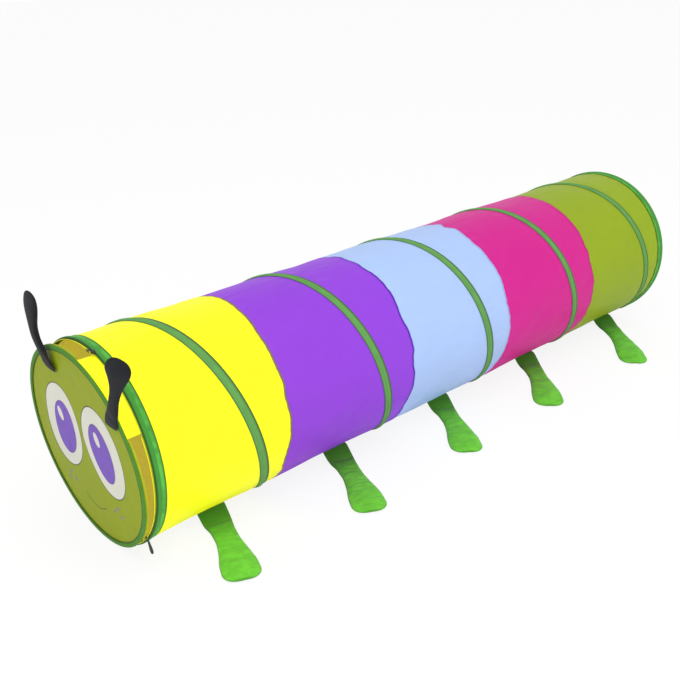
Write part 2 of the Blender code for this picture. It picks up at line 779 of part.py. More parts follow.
def stand_over_origin(assembly):
    """Move the whole tunnel so that its box stands on the floor, centred over the origin."""
    bpy.context.view_layer.update()
    graph = bpy.context.evaluated_depsgraph_get()
    low = Vector((math.inf, math.inf, math.inf))
    high = -low
    for item in assembly.pieces():
        shown = item.evaluated_get(graph)
        mesh = shown.to_mesh()
        for vertex in mesh.vertices:
            place = shown.matrix_world @ vertex.co
            low = Vector(map(min, low, place))
            high = Vector(map(max, high, place))
        shown.to_mesh_clear()
    middle = (low + high) / 2.0
    assembly.root.matrix_basis = Matrix.Translation(Vector((-middle.x, -middle.y, -low.z)))
    bpy.context.view_layer.update()


def main():
    """Build the whole tunnel."""
    clear_scene()
    assembly = Assembly("play_tunnel")
    route = wire_route()
    spiral = spiral_part(route)

    panels = make_panels(assembly, route)
    make_wire(assembly, route)
    make_spiral_tape(assembly, spiral)
    make_binding(assembly, "mouth_binding", spiral, at_tail=False)
    make_binding(assembly, "tail_binding", spiral, at_tail=True)

    middle = (GUSSET_FROM + GUSSET_TO) / 2.0
    hinge_place = Matrix.Translation(ring_point(0.0, ZIP_RADIUS, middle))
    hinge = assembly.pivot("face_pivot", hinge_place, assembly.root)
    make_face(assembly, hinge)
    make_gusset(assembly)
    make_zip_half(
        assembly, "mouth", tunnel_frame(), -GAP, ZIP_RADIUS, -1.0, MOUTH_ZIP_STEPS, assembly.root,
    )
    make_zip_half(
        assembly, "face", face_frame(), FACE_HALF + GAP, ZIP_RADIUS - GAP, 1.0, FACE_ZIP_STEPS,
        hinge,
    )
    slider, eye = make_slider(assembly, "top_slider", TOP_SLIDER_ANGLE)
    make_cord_pull(assembly, "cord_pull", slider, eye, TOP_SLIDER_ANGLE)
    slider, eye = make_slider(assembly, "bottom_slider", BOTTOM_SLIDER_ANGLE)
    make_tab_pull(assembly, "tab_pull", slider, eye)
    for name, spec in ANTENNAE.items():
        make_antenna(assembly, name, spec, hinge)
    for index, panel in enumerate(panels):
        make_leg(assembly, "leg_left_" + str(index + 1), panel, index, -1.0)
        make_leg(assembly, "leg_right_" + str(index + 1), panel, index, 1.0)
    stand_over_origin(assembly)


if __name__ == "__main__":
    main()
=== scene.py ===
"""Looks of a pop-up crawl tunnel shaped like a long many-legged bug.

The tunnel lies along X with its head towards -X. Distances along it start at the mouth's front
edge, and angles round it start at the top and grow towards -Y, the side that faces the camera.
Everything is in metres, in the frame of the solids that it dresses.
"""

from __future__ import annotations

import json
import logging
import math
import sys
from dataclasses import dataclass, field
from enum import Enum
from typing import Callable, Sequence

import bmesh
import bpy
from mathutils import Matrix, Vector, noise

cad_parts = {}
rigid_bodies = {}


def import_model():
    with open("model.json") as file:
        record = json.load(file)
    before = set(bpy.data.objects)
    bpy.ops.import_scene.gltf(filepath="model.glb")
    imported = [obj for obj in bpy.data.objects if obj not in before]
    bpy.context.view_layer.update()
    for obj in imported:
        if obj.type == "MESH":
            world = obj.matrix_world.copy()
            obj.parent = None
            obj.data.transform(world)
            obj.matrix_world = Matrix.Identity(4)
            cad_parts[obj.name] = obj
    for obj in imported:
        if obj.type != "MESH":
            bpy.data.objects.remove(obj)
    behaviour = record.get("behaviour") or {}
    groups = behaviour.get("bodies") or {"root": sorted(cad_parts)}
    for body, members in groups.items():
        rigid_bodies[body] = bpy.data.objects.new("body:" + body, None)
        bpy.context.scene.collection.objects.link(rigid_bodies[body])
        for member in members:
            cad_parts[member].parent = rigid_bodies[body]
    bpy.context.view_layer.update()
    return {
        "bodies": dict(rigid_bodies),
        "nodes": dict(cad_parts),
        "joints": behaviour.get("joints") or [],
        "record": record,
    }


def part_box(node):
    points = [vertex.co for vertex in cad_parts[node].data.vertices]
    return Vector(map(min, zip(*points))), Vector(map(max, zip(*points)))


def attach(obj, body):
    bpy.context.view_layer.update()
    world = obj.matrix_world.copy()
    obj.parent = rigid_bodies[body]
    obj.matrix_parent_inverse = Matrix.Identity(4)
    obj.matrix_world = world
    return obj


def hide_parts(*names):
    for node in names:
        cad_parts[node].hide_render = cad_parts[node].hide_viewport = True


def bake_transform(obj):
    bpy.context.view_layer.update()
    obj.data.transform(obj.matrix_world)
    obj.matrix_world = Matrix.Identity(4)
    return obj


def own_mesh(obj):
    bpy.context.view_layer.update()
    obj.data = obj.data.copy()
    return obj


LOG = logging.getLogger("play_tunnel")
FULL_TURN = 2.0 * math.pi
PANELS = ("yellow", "purple", "blue", "pink", "lime")

Item = bpy.types.Object
Material = bpy.types.Material
Tree = bpy.types.NodeTree
Socket = bpy.types.NodeSocket
Value = "Socket | float"


class Shade(Enum):
    """The colours of the tunnel, as 8-bit sRGB."""

    YELLOW = (255, 255, 22)
    PURPLE = (134, 58, 200)
    BLUE = (158, 183, 228)
    PINK = (193, 22, 130)
    LIME = (134, 156, 14)
    OLIVE = (134, 148, 2)
    # Painted shade: a darker, duller yellow for the yellow panel's lining, where the inside of the tunnel
    # lies in shade.
    SHADED_YELLOW = (228, 218, 80)
    # Painted shade: a darker olive for the inner side of the face's cloth.
    SHADED_OLIVE = (132, 128, 12)
    TAPE_GREEN = (92, 147, 76)
    BINDING_GREEN = (66, 140, 52)
    RIM_GREEN = (66, 124, 24)
    ZIP_YELLOW = (246, 242, 30)
    ZIP_LIME = (190, 200, 34)
    LEG_GREEN = (102, 192, 50)
    SOFT_BLACK = (18, 20, 26)
    STEEL = (168, 170, 174)
    LACQUER = (92, 112, 48)
    EYE_WHITE = (205, 205, 194)
    IRIS = (112, 78, 178)
    INK = (44, 40, 34)
    PLUM_THREAD = (72, 22, 70)
    VIOLET_THREAD = (58, 6, 150)
    SLATE_THREAD = (140, 146, 200)
    ROSE_THREAD = (176, 24, 96)

    def linear(self, share: float = 1.0) -> tuple[float, float, float, float]:
        """Return the colour as linear RGBA, darkened or lightened by a share."""
        return tuple(min(1.0, share * self._linear_channel(value)) for value in self.value) + (1.0,)

    @staticmethod
    def _linear_channel(channel: int) -> float:
        """Return one channel's linear value."""
        value = channel / 255.0
        return value / 12.92 if value <= 0.04045 else ((value + 0.055) / 1.055) ** 2.4


class Body(Enum):
    """The moving bodies that more than one class names."""

    HEAD = "head"
    TAIL = "tail"
    FACE = "face"


def ease(value: float, low: float, high: float) -> float:
    """Return 0 below low, 1 above high, and a smooth step between them."""
    share = min(1.0, max(0.0, (value - low) / (high - low)))
    return share * share * (3.0 - 2.0 * share)


def between(table: Sequence[tuple[float, ...]], place: float, column: int) -> float:
    """Read a column of a table of shares at any place, smoothly.

    Args:
        table: Rows whose first number is the place, in rising order.
        place: Where to read.
        column: Which number of the row to read.

    Returns:
        The value on a curve through the rows.
    """
    rows = list(table)
    index = max(i for i, row in enumerate(rows[:-1]) if row[0] <= max(place, rows[0][0]))
    p0, p1, p2, p3 = (
        rows[min(max(index + step, 0), len(rows) - 1)][column] for step in (-1, 0, 1, 2)
    )
    span = rows[index + 1][0] - rows[index][0]
    t = min(1.0, max(0.0, (place - rows[index][0]) / span))
    curve = p1 + 0.5 * t * (
        p2 - p0 + t * (2.0 * p0 - 5.0 * p1 + 4.0 * p2 - p3 + t * (3.0 * (p1 - p2) + p3 - p0))
    )
    return min(max(curve, min(p1, p2) - 0.1 * abs(p2 - p1)), max(p1, p2) + 0.1 * abs(p2 - p1))


@dataclass(frozen=True)
class TunnelPlan:
    """The sizes of the tunnel and where its wire runs.

    Attributes:
        front: World X of the mouth's front edge.
        axis_height: Height of the tunnel's axis above the floor.
    """

    front: float
    axis_height: float
    length: float = 1.84
    ring_radius: float = 0.2285
    sides: int = 28
    gap: float = 0.0003
    wire: float = 0.0024
    wire_inset: float = 0.0050
    strand_gap: float = 0.0008
    first_station: int = 16
    spiral_steps: int = 137
    cloth: float = 0.0010
    tape: float = 0.0008
    tape_width: float = 0.0246
    binding_width: float = 0.0240
    inner_width: float = 0.0120
    waist: float = 0.0020
    collapse_keep: float = 0.04

    @property
    def step(self) -> float:
        """Angle of one station of the wire."""
        return FULL_TURN / self.sides

    @property
    def cloth_radius(self) -> float:
        """Radius of the cloth's outer face at a ring."""
        return self.ring_radius - self.wire / 2.0 - self.gap

    @property
    def crest_lift(self) -> float:
        """How far the tape's inner face stands off the cloth over the wire."""
        return self.wire + 2.0 * self.gap

    @property
    def crest_radius(self) -> float:
        """Radius of the tape's outer face over the wire."""
        return self.cloth_radius + self.crest_lift + self.tape

    @property
    def last_station(self) -> int:
        """The station at which the wire ends."""
        return self.first_station + self.spiral_steps + 2 * self.sides

    def wire_place(self, station: float) -> float:
        """Return how far along the tunnel the wire is at a station.

        Args:
            station: Steps round the tunnel, counted from the top.

        Returns:
            Its distance from the mouth.
        """
        flat_rise = (self.wire + self.strand_gap) / self.sides
        stations = self.last_station - self.first_station
        run = self.length - 2.0 * self.wire_inset - flat_rise * stations
        climb = run / (self.spiral_steps - 1)
        spiral = station - self.first_station - self.sides
        full = self.spiral_steps - 1
        climbed = min(max(spiral - 0.5, 0.0), float(full))
        return self.wire_inset + flat_rise * (station - self.first_station) + climb * climbed

    def crossings(self, angle: float) -> list[float]:
        """Return where the wire crosses one line along the tunnel, mouth to tail.

        Args:
            angle: Angle of the line.

        Returns:
            The distances from the mouth.
        """
        station = angle / self.step - 0.5
        turns = math.ceil((self.first_station - station) / self.sides)
        station += turns * self.sides
        places = []
        while station <= self.last_station:
            places.append(self.wire_place(station))
            station += self.sides
        return places

    def wrap(self, distance: float, radius: float, angle: float) -> Vector:
        """Return a point of the tunnel, pressed flat where it rests on the floor.

        Args:
            distance: Distance along the tunnel from the mouth.
            radius: Distance from the axis.
            angle: Angle from the top towards the camera's side.

        Returns:
            The point in the world.
        """
        floor = max(0.0, self.crest_radius - radius)
        over = self.axis_height + radius * math.cos(angle) - floor
        soft = 0.0004
        height = floor + 0.5 * (over + math.sqrt(over * over + soft * soft))
        return Vector((self.front + distance, -radius * math.sin(angle), height))

    def outward(self, point: Vector) -> Vector:
        """Return the way from the tunnel's axis to a point."""
        return Vector((0.0, point.y, point.z - self.axis_height))

    def waisted(self, places: Sequence[float], distance: float) -> float:
        """Return the cloth's radius, which draws in between two turns of the wire.

        Args:
            places: Where the wire crosses this line of the tunnel.
            distance: Distance along the tunnel.

        Returns:
            Radius of the cloth's outer face.
        """
        pitch = self.length * self.sides / self.spiral_steps
        first = self.inner_width + self.gap
        last = self.length - first
        for ahead, behind in zip(places, places[1:]):
            start = max(ahead, first)
            span = min(behind, last) - start
            if span > 0.0 and start <= distance <= start + span:
                depth = self.waist * min(1.0, span / pitch)
                return self.cloth_radius - depth * math.sin(math.pi * (distance - start) / span) ** 2
        return self.cloth_radius

    def lift_over(self, places: Sequence[float], distance: float) -> float:
        """Return how far a tape's inner face lifts off the cloth to pass over the wire.

        Args:
            places: Where the wire crosses this line of the tunnel.
            distance: Distance along the tunnel.

        Returns:
            The lift.
        """
        nearest = min(abs(distance - place) for place in places)
        rise = 1.0 - ease(nearest, self.wire / 2.0, self.wire / 2.0 + 0.0024)
        return self.gap + (self.crest_lift - self.gap) * rise


class Modeller:
    """Makes mesh objects, from operators where the piece is rigid and from rows where it is cloth."""

    @staticmethod
    def deselect() -> None:
        """Leave nothing selected and no object in edit mode."""
        if bpy.context.object is not None and bpy.context.object.mode != "OBJECT":
            bpy.ops.object.mode_set(mode="OBJECT")
        bpy.ops.object.select_all(action="DESELECT")

    @classmethod
    def choose(cls, item: Item) -> Item:
        """Select one object alone and make it active.

        Args:
            item: The object.

        Returns:
            The same object.
        """
        cls.deselect()
        item.select_set(True)
        bpy.context.view_layer.objects.active = item
        return item

    @classmethod
    def apply_modifiers(cls, item: Item) -> None:
        """Apply all of an object's modifiers, in order.

        Args:
            item: The object.
        """
        cls.choose(item)
        for name in [modifier.name for modifier in item.modifiers]:
            bpy.ops.object.modifier_apply(modifier=name)

    @classmethod
    def settle(cls, item: Item, frame: Matrix | None = None) -> Item:
        """Put an object's place into its mesh, so that the object itself stands at the origin.

        Args:
            item: The object.
            frame: Where to take it first, from where it was modelled.

        Returns:
            The same object.
        """
        bpy.context.view_layer.update()
        matrix = (frame or Matrix.Identity(4)) @ item.matrix_world
        item.data.transform(matrix)
        item.matrix_world = Matrix.Identity(4)
        if matrix.determinant() < 0.0:
            item.data.flip_normals()
        return item

    @classmethod
    def join(cls, name: str, items: Sequence[Item]) -> Item:
        """Join several objects into one piece.

        Args:
            name: Name of the piece.
            items: The objects, whose meshes become one.

        Returns:
            The piece.
        """
        cls.choose(items[0])
        for item in items:
            item.select_set(True)
        bpy.ops.object.join()
        items[0].name = name
        items[0].data.name = name
        return items[0]

    @classmethod
    def smooth(cls, item: Item, degrees: float = 45.0) -> Item:
        """Shade an object smooth, with sharp edges past an angle.

        Args:
            item: The object.
            degrees: The angle.

        Returns:
            The same object.
        """
        cls.choose(item)
        bpy.ops.object.shade_smooth_by_angle(angle=math.radians(degrees))
        return item

    @classmethod
    def block(
        cls, size: Sequence[float], centre: Sequence[float], bevel: float, segments: int = 2
    ) -> Item:
        """Make a block with rounded edges.

        Args:
            size: Its three sizes.
            centre: Its centre.
            bevel: Radius of its edges.
            segments: Steps of each rounded edge.

        Returns:
            The block, with its place in its mesh.
        """
        cls.deselect()
        bpy.ops.mesh.primitive_cube_add(size=1.0, location=centre)
        item = bpy.context.object
        item.scale = size
        bpy.ops.object.transform_apply(location=True, rotation=True, scale=True)
        bpy.ops.object.mode_set(mode="EDIT")
        bpy.ops.mesh.select_all(action="SELECT")
        bpy.ops.mesh.bevel(offset=bevel, segments=segments, affect="EDGES")
        bpy.ops.object.mode_set(mode="OBJECT")
        return item

    @staticmethod
    def rows(
        name: str,
        rows: Sequence[Sequence[Vector]],
        run: Sequence[float],
        girth: Sequence[Sequence[float]],
        around: bool = True,
        along: bool = False,
        capped: bool = False,
        outwards: Callable[[Vector], Vector] | None = None,
    ) -> Item:
        """Join rows of points into a surface with a UV map in metres.

        Args:
            name: Name of the piece.
            rows: The rows of points, each of one length.
            run: The U of each row, with one more where the rows close on themselves.
            girth: The V of each point of each row, with one more where the points close.
            around: Whether each row closes on itself.
            along: Whether the last row joins the first.
            capped: Whether the first and last rows are filled.
            outwards: Gives the outward direction at a point of an open surface.

        Returns:
            The piece.
        """
        builder = bmesh.new()
        layer = builder.loops.layers.uv.new("UVMap")
        grid = [[builder.verts.new(point) for point in row] for row in rows]
        wide = len(grid[0])
        long = len(grid)
        for i in range(long if along else long - 1):
            for j in range(wide if around else wide - 1):
                ii, jj = (i + 1) % long, (j + 1) % wide
                face = builder.faces.new((grid[i][j], grid[i][jj], grid[ii][jj], grid[ii][j]))
                places = (
                    (run[i], girth[i][j]), (run[i], girth[i][j + 1]),
                    (run[i + 1], girth[ii][j + 1]), (run[i + 1], girth[ii][j]),
                )
                for loop, place in zip(face.loops, places):
                    loop[layer].uv = place
        if capped:
            builder.faces.new(grid[0])
            builder.faces.new(list(reversed(grid[-1])))
        if outwards is None:
            bmesh.ops.recalc_face_normals(builder, faces=builder.faces)
        else:
            builder.faces.ensure_lookup_table()
            first = builder.faces[len(builder.faces) // 2]
            first.normal_update()
            if first.normal.dot(outwards(first.calc_center_median())) < 0.0:
                bmesh.ops.reverse_faces(builder, faces=builder.faces)
        mesh = bpy.data.meshes.new(name)
        builder.to_mesh(mesh)
        builder.free()
        mesh.shade_smooth()
        item = bpy.data.objects.new(name, mesh)
        bpy.context.scene.collection.objects.link(item)
        return item

    @classmethod
    def thicken(cls, item: Item, thickness: float, offset: float = -1.0) -> None:
        """Give an open surface its thickness.

        Args:
            item: The surface.
            thickness: Its thickness.
            offset: -1 to grow inwards, 0 to grow both ways.
        """
        shell = item.modifiers.new("cloth", "SOLIDIFY")
        shell.thickness = thickness
        shell.offset = offset
        shell.use_even_offset = True
        cls.apply_modifiers(item)


def strip_section(line: Sequence[tuple[float, float]], thickness: float) -> list[tuple[float, float]]:
    """Turn an open line of a strip's middle into the closed outline of its section.

    Args:
        line: The middle of the strip, as pairs of numbers in the section's plane.
        thickness: The strip's thickness.

    Returns:
        The outline, down one side and back up the other.
    """
    sides: tuple[list[tuple[float, float]], list[tuple[float, float]]] = ([], [])
    for index, (u, v) in enumerate(line):
        before = line[max(index - 1, 0)]
        after = line[min(index + 1, len(line) - 1)]
        du, dv = after[0] - before[0], after[1] - before[1]
        size = math.hypot(du, dv) or 1.0
        for side, sign in zip(sides, (1.0, -1.0)):
            side.append((u - sign * dv / size * thickness / 2.0, v + sign * du / size * thickness / 2.0))
    return sides[0] + list(reversed(sides[1]))


def running_lengths(points: Sequence[Vector | tuple[float, float]], closed: bool) -> list[float]:
    """Return the distance of each point along its line, with one more where the line closes.

    Args:
        points: The points of the line.
        closed: Whether the line closes.

    Returns:
        The distances.
    """
    pairs = [Vector(point) for point in points]
    if closed:
        pairs.append(pairs[0])
    lengths = [0.0]
    for one, other in zip(pairs, pairs[1:]):
        lengths.append(lengths[-1] + (other - one).length)
    return lengths


def blunt_end(place: float, start: float) -> float:
    """Return how full a pad is at a place, which drops to 0 round a blunt end."""
    share = min(1.0, max(0.0, (place - start) / (1.0 - start)))
    return max(0.0, 1.0 - share ** 3.0) ** (1.0 / 3.0)


class NodeBook:
    """Adds nodes to a tree and links them as they are written down."""

    def __init__(self, tree: Tree) -> None:
        """Start writing in a tree."""
        self.tree = tree

    def add(self, kind: str, **settings: object) -> bpy.types.Node:
        """Add a node and set its properties.

        Args:
            kind: The node's type.
            **settings: Its properties.

        Returns:
            The node.
        """
        node = self.tree.nodes.new(kind)
        for key, value in settings.items():
            setattr(node, key, value)
        return node

    def feed(self, socket: Socket, value: Value) -> None:
        """Link a socket to an input, or write a number in it.

        Args:
            socket: The input.
            value: A socket, a number or a colour.
        """
        if isinstance(value, bpy.types.NodeSocket):
            self.tree.links.new(value, socket)
        else:
            socket.default_value = value

    def math(self, operation: str, *values: Value) -> Socket:
        """Add a Math node and return its result.

        Args:
            operation: The node's operation.
            *values: Its inputs, in order.

        Returns:
            The result.
        """
        node = self.add("ShaderNodeMath", operation=operation)
        for socket, value in zip(node.inputs, values):
            self.feed(socket, value)
        return node.outputs[0]

    def times(self, one: Value, other: Value) -> Socket:
        """Return the product of two values."""
        return self.math("MULTIPLY", one, other)

    def less(self, value: Value) -> Socket:
        """Return what is left of 1 when a value is taken off."""
        return self.math("SUBTRACT", 1.0, value)

    def band(self, value: Value, low: float, high: float) -> Socket:
        """Return a smooth step from 0 at low to 1 at high.

        Args:
            value: The value.
            low: Where the step starts.
            high: Where it ends.

        Returns:
            The step.
        """
        node = self.add("ShaderNodeMapRange", interpolation_type="SMOOTHSTEP")
        self.feed(node.inputs["Value"], value)
        self.feed(node.inputs["From Min"], low)
        self.feed(node.inputs["From Max"], high)
        return node.outputs["Result"]

    def mix(self, factor: Value, one: Value, other: Value, blend: str = "MIX") -> Socket:
        """Mix two colours.

        Args:
            factor: Share of the other colour.
            one: The colour beneath.
            other: The colour on top.
            blend: How they are blended.

        Returns:
            The mixed colour.
        """
        node = self.add("ShaderNodeMix", data_type="RGBA", blend_type=blend)
        self.feed(node.inputs[0], factor)
        self.feed(node.inputs[6], one)
        self.feed(node.inputs[7], other)
        return node.outputs[2]

    def shaded(self, colour: Value, shade: Socket) -> Socket:
        """Multiply a colour by a plain value.

        Args:
            colour: The colour.
            shade: The value.

        Returns:
            The shaded colour.
        """
        grey = self.add("ShaderNodeCombineColor")
        for socket in grey.inputs:
            self.feed(socket, shade)
        return self.mix(1.0, colour, grey.outputs[0], "MULTIPLY")

    def noise(self, vector: Value, scale: float, detail: float = 3.0) -> Socket:
        """Return a noise texture's value.

        Args:
            vector: Where to read it.
            scale: Patches in a metre.
            detail: How fine it gets.

        Returns:
            The value.
        """
        node = self.add("ShaderNodeTexNoise")
        self.feed(node.inputs["Vector"], vector)
        node.inputs["Scale"].default_value = scale
        node.inputs["Detail"].default_value = detail
        return node.outputs["Fac"]

    def stretched(self, vector: Value, scale: Sequence[float]) -> Socket:
        """Scale a vector unevenly.

        Args:
            vector: The vector.
            scale: A number for each of its parts.

        Returns:
            The scaled vector.
        """
        node = self.add("ShaderNodeMapping")
        self.feed(node.inputs["Vector"], vector)
        node.inputs["Scale"].default_value = scale
        return node.outputs["Vector"]

    def parts(self, vector: Value) -> tuple[Socket, Socket, Socket]:
        """Split a vector into its three parts.

        Args:
            vector: The vector.

        Returns:
            Its X, Y and Z.
        """
        node = self.add("ShaderNodeSeparateXYZ")
        self.feed(node.inputs[0], vector)
        return node.outputs[0], node.outputs[1], node.outputs[2]

    def group(self, tree: Tree, **values: Value) -> dict[str, Socket]:
        """Place a shared group and feed its inputs by name.

        Args:
            tree: The shared group.
            **values: The inputs, with underscores in place of spaces.

        Returns:
            The group's outputs by name.
        """
        node = self.add("ShaderNodeGroup", node_tree=tree)
        for key, value in values.items():
            self.feed(node.inputs[key.replace("_", " ")], value)
        return {output.name: output for output in node.outputs}


class SharedEffects:
    """The node groups that more than one finish uses, each built once."""

    def __init__(self) -> None:
        """Build the groups."""
        self.weave = self._weave()
        self.stitching = self._stitching()
        self.mottle = self._mottle()
        self.oval = self._oval()
        self.scuffs = self._scuffs()

    @staticmethod
    def _open(
        name: str, outputs: Sequence[str], vectors: Sequence[str] = ("Place",), **values: float
    ) -> tuple[NodeBook, dict[str, Socket], bpy.types.Node]:
        """Start a group.

        Args:
            name: Name of the group.
            outputs: Names of the outputs, all plain values.
            vectors: Names of the inputs that are vectors.
            **values: The plain inputs' defaults, with underscores in place of spaces.

        Returns:
            The book to write in, the inputs by name and the output node.
        """
        tree = bpy.data.node_groups.new(name, "ShaderNodeTree")
        for key in vectors:
            tree.interface.new_socket(key, in_out="INPUT", socket_type="NodeSocketVector")
        for key, value in values.items():
            socket = tree.interface.new_socket(
                key.replace("_", " "), in_out="INPUT", socket_type="NodeSocketFloat",
            )
            socket.default_value = value
        for key in outputs:
            tree.interface.new_socket(key, in_out="OUTPUT", socket_type="NodeSocketFloat")
        book = NodeBook(tree)
        source = book.add("NodeGroupInput")
        sink = book.add("NodeGroupOutput")
        return book, {output.name: output for output in source.outputs if output.name}, sink

    def _weave(self) -> Tree:
        """Build a plain weave: threads that pass over and under each other.

        Returns:
            The group.
        """
        book, given, sink = self._open("plain_weave", ("Height", "Tint"), Threads=900.0)
        across, along, _ = book.parts(given["Place"])
        turns = book.times(given["Threads"], math.pi)
        warp = book.math("SINE", book.times(across, turns))
        weft = book.math("SINE", book.times(along, turns))
        height = book.times(warp, weft)
        uneven = book.noise(given["Place"], 160.0, 2.0)
        book.feed(sink.inputs["Height"], height)
        book.feed(sink.inputs["Tint"], book.math("MULTIPLY_ADD", uneven, 0.10, 0.95))
        return book.tree

    def _stitching(self) -> Tree:
        """Build one row of lockstitch along a line at a set distance from an edge.

        Returns:
            The group.
        """
        book, given, sink = self._open(
            "stitch_row", ("Mask", "Height"), (),
            Along=0.0, Across=0.0, Line=0.002, Pitch=0.003, Thread=0.0004,
        )
        off_line = book.math("ABSOLUTE", book.math("SUBTRACT", given["Across"], given["Line"]))
        near = book.less(book.math("DIVIDE", off_line, given["Thread"]))
        beat = book.math("FRACT", book.math("DIVIDE", given["Along"], given["Pitch"]))
        dash = book.math("SUBTRACT", 0.78, book.math("ABSOLUTE", book.math("MULTIPLY_ADD", beat, 2.0, -1.0)))
        mask = book.times(book.band(near, 0.0, 0.35), book.band(dash, 0.0, 0.2))
        dimple = book.times(book.band(near, -2.5, 0.2), -0.6)
        book.feed(sink.inputs["Mask"], mask)
        book.feed(sink.inputs["Height"], book.math("MULTIPLY_ADD", mask, 1.2, dimple))
        return book.tree

    def _mottle(self) -> Tree:
        """Build the soft patches of light and dark that slack cloth shows: Shade is painted light and shade,
        lighter where Height, the bump of its folds, rises and darker where it dips.

        Returns:
            The group.
        """
        book, given, sink = self._open("soft_mottle", ("Shade", "Height"), Amount=0.05)
        broad = book.noise(given["Place"], 7.0, 3.0)
        fine = book.noise(book.stretched(given["Place"], (10.0, 34.0, 34.0)), 1.0, 3.0)
        blend = book.math("MULTIPLY_ADD", broad, 0.6, book.times(fine, 0.4))
        centred = book.math("SUBTRACT", blend, 0.5)
        spread = book.times(centred, book.times(given["Amount"], 4.0))
        book.feed(sink.inputs["Shade"], book.math("ADD", spread, 1.0))
        book.feed(sink.inputs["Height"], blend)
        return book.tree

    def _oval(self) -> Tree:
        """Build a printed oval with a drawn outline.

        Returns:
            The group.
        """
        book, given, sink = self._open(
            "printed_oval", ("Inside", "Outline"),
            Side=0.0, Up=0.0, Tilt=0.0, Half_Width=0.05, Half_Height=0.08, Line=0.0015,
        )
        across, along, _ = book.parts(given["Place"])
        side = book.math("SUBTRACT", across, given["Side"])
        up = book.math("SUBTRACT", along, given["Up"])
        cosine = book.math("COSINE", given["Tilt"])
        sine = book.math("SINE", given["Tilt"])
        turned_side = book.math("ADD", book.times(side, cosine), book.times(up, sine))
        turned_up = book.math("SUBTRACT", book.times(up, cosine), book.times(side, sine))
        wide = book.math("POWER", book.math("DIVIDE", turned_side, given["Half Width"]), 2.0)
        high = book.math("POWER", book.math("DIVIDE", turned_up, given["Half Height"]), 2.0)
        reach = book.math("SQRT", book.math("ADD", wide, high))
        depth = book.times(book.less(reach), given["Half Width"])
        inside = book.band(depth, -0.0003, 0.0003)
        from_line = book.math("SUBTRACT", given["Line"], book.math("ABSOLUTE", depth))
        book.feed(sink.inputs["Inside"], inside)
        book.feed(sink.inputs["Outline"], book.band(from_line, 0.0, 0.0006))
        return book.tree

    def _scuffs(self) -> Tree:
        """Build small rubbed spots and fine scratches.

        Returns:
            The group.
        """
        book, given, sink = self._open("fine_scuffs", ("Mask", "Height"), Amount=0.5)
        spots = book.noise(given["Place"], 620.0, 4.0)
        lines = book.noise(book.stretched(given["Place"], (300.0, 3000.0, 300.0)), 1.0, 2.0)
        rubbed = book.band(book.math("ADD", spots, book.times(lines, 0.4)), 0.78, 0.92)
        book.feed(sink.inputs["Mask"], book.times(rubbed, given["Amount"]))
        book.feed(sink.inputs["Height"], lines)
        return book.tree


class Finish:
    """A material in the making, with its Principled shader and a book for its nodes."""

    def __init__(self, name: str, effects: SharedEffects) -> None:
        """Start a material.

        Args:
            name: Name of the material.
            effects: The shared node groups.
        """
        self.material = bpy.data.materials.new(name)
        self.material.use_nodes = True
        self.book = NodeBook(self.material.node_tree)
        self.effects = effects
        self.shader = self.material.node_tree.nodes["Principled BSDF"]
        coordinates = self.book.add("ShaderNodeTexCoord")
        self.place = coordinates.outputs["Object"]
        self.uv = coordinates.outputs["UV"]

    def set(self, **values: Value) -> None:
        """Feed the shader's inputs by name, with underscores in place of spaces."""
        for key, value in values.items():
            self.book.feed(self.shader.inputs[key.replace("_", " ")], value)

    def bump(self, height: Value, strength: float, distance: float) -> None:
        """Add a bump to what already feeds the shader's normal.

        Args:
            height: The height.
            strength: How strong the bump is.
            distance: How high the height 1 stands.
        """
        node = self.book.add("ShaderNodeBump")
        self.book.feed(node.inputs["Height"], height)
        node.inputs["Strength"].default_value = strength
        node.inputs["Distance"].default_value = distance
        normal = self.shader.inputs["Normal"]
        if normal.is_linked:
            self.book.feed(node.inputs["Normal"], normal.links[0].from_socket)
        self.book.feed(normal, node.outputs["Normal"])

    def thin_cloth(self) -> None:
        """Let light through, as through one layer of coated nylon."""
        self.set(Specular_IOR_Level=0.18, Subsurface_Weight=0.35, Subsurface_Scale=0.004)
        self.shader.inputs["Subsurface Radius"].default_value = (1.0, 1.0, 1.0)

    def attribute(self, name: str) -> Socket:
        """Return an attribute of the piece's own mesh."""
        return self.book.add("ShaderNodeAttribute", attribute_name=name).outputs["Fac"]


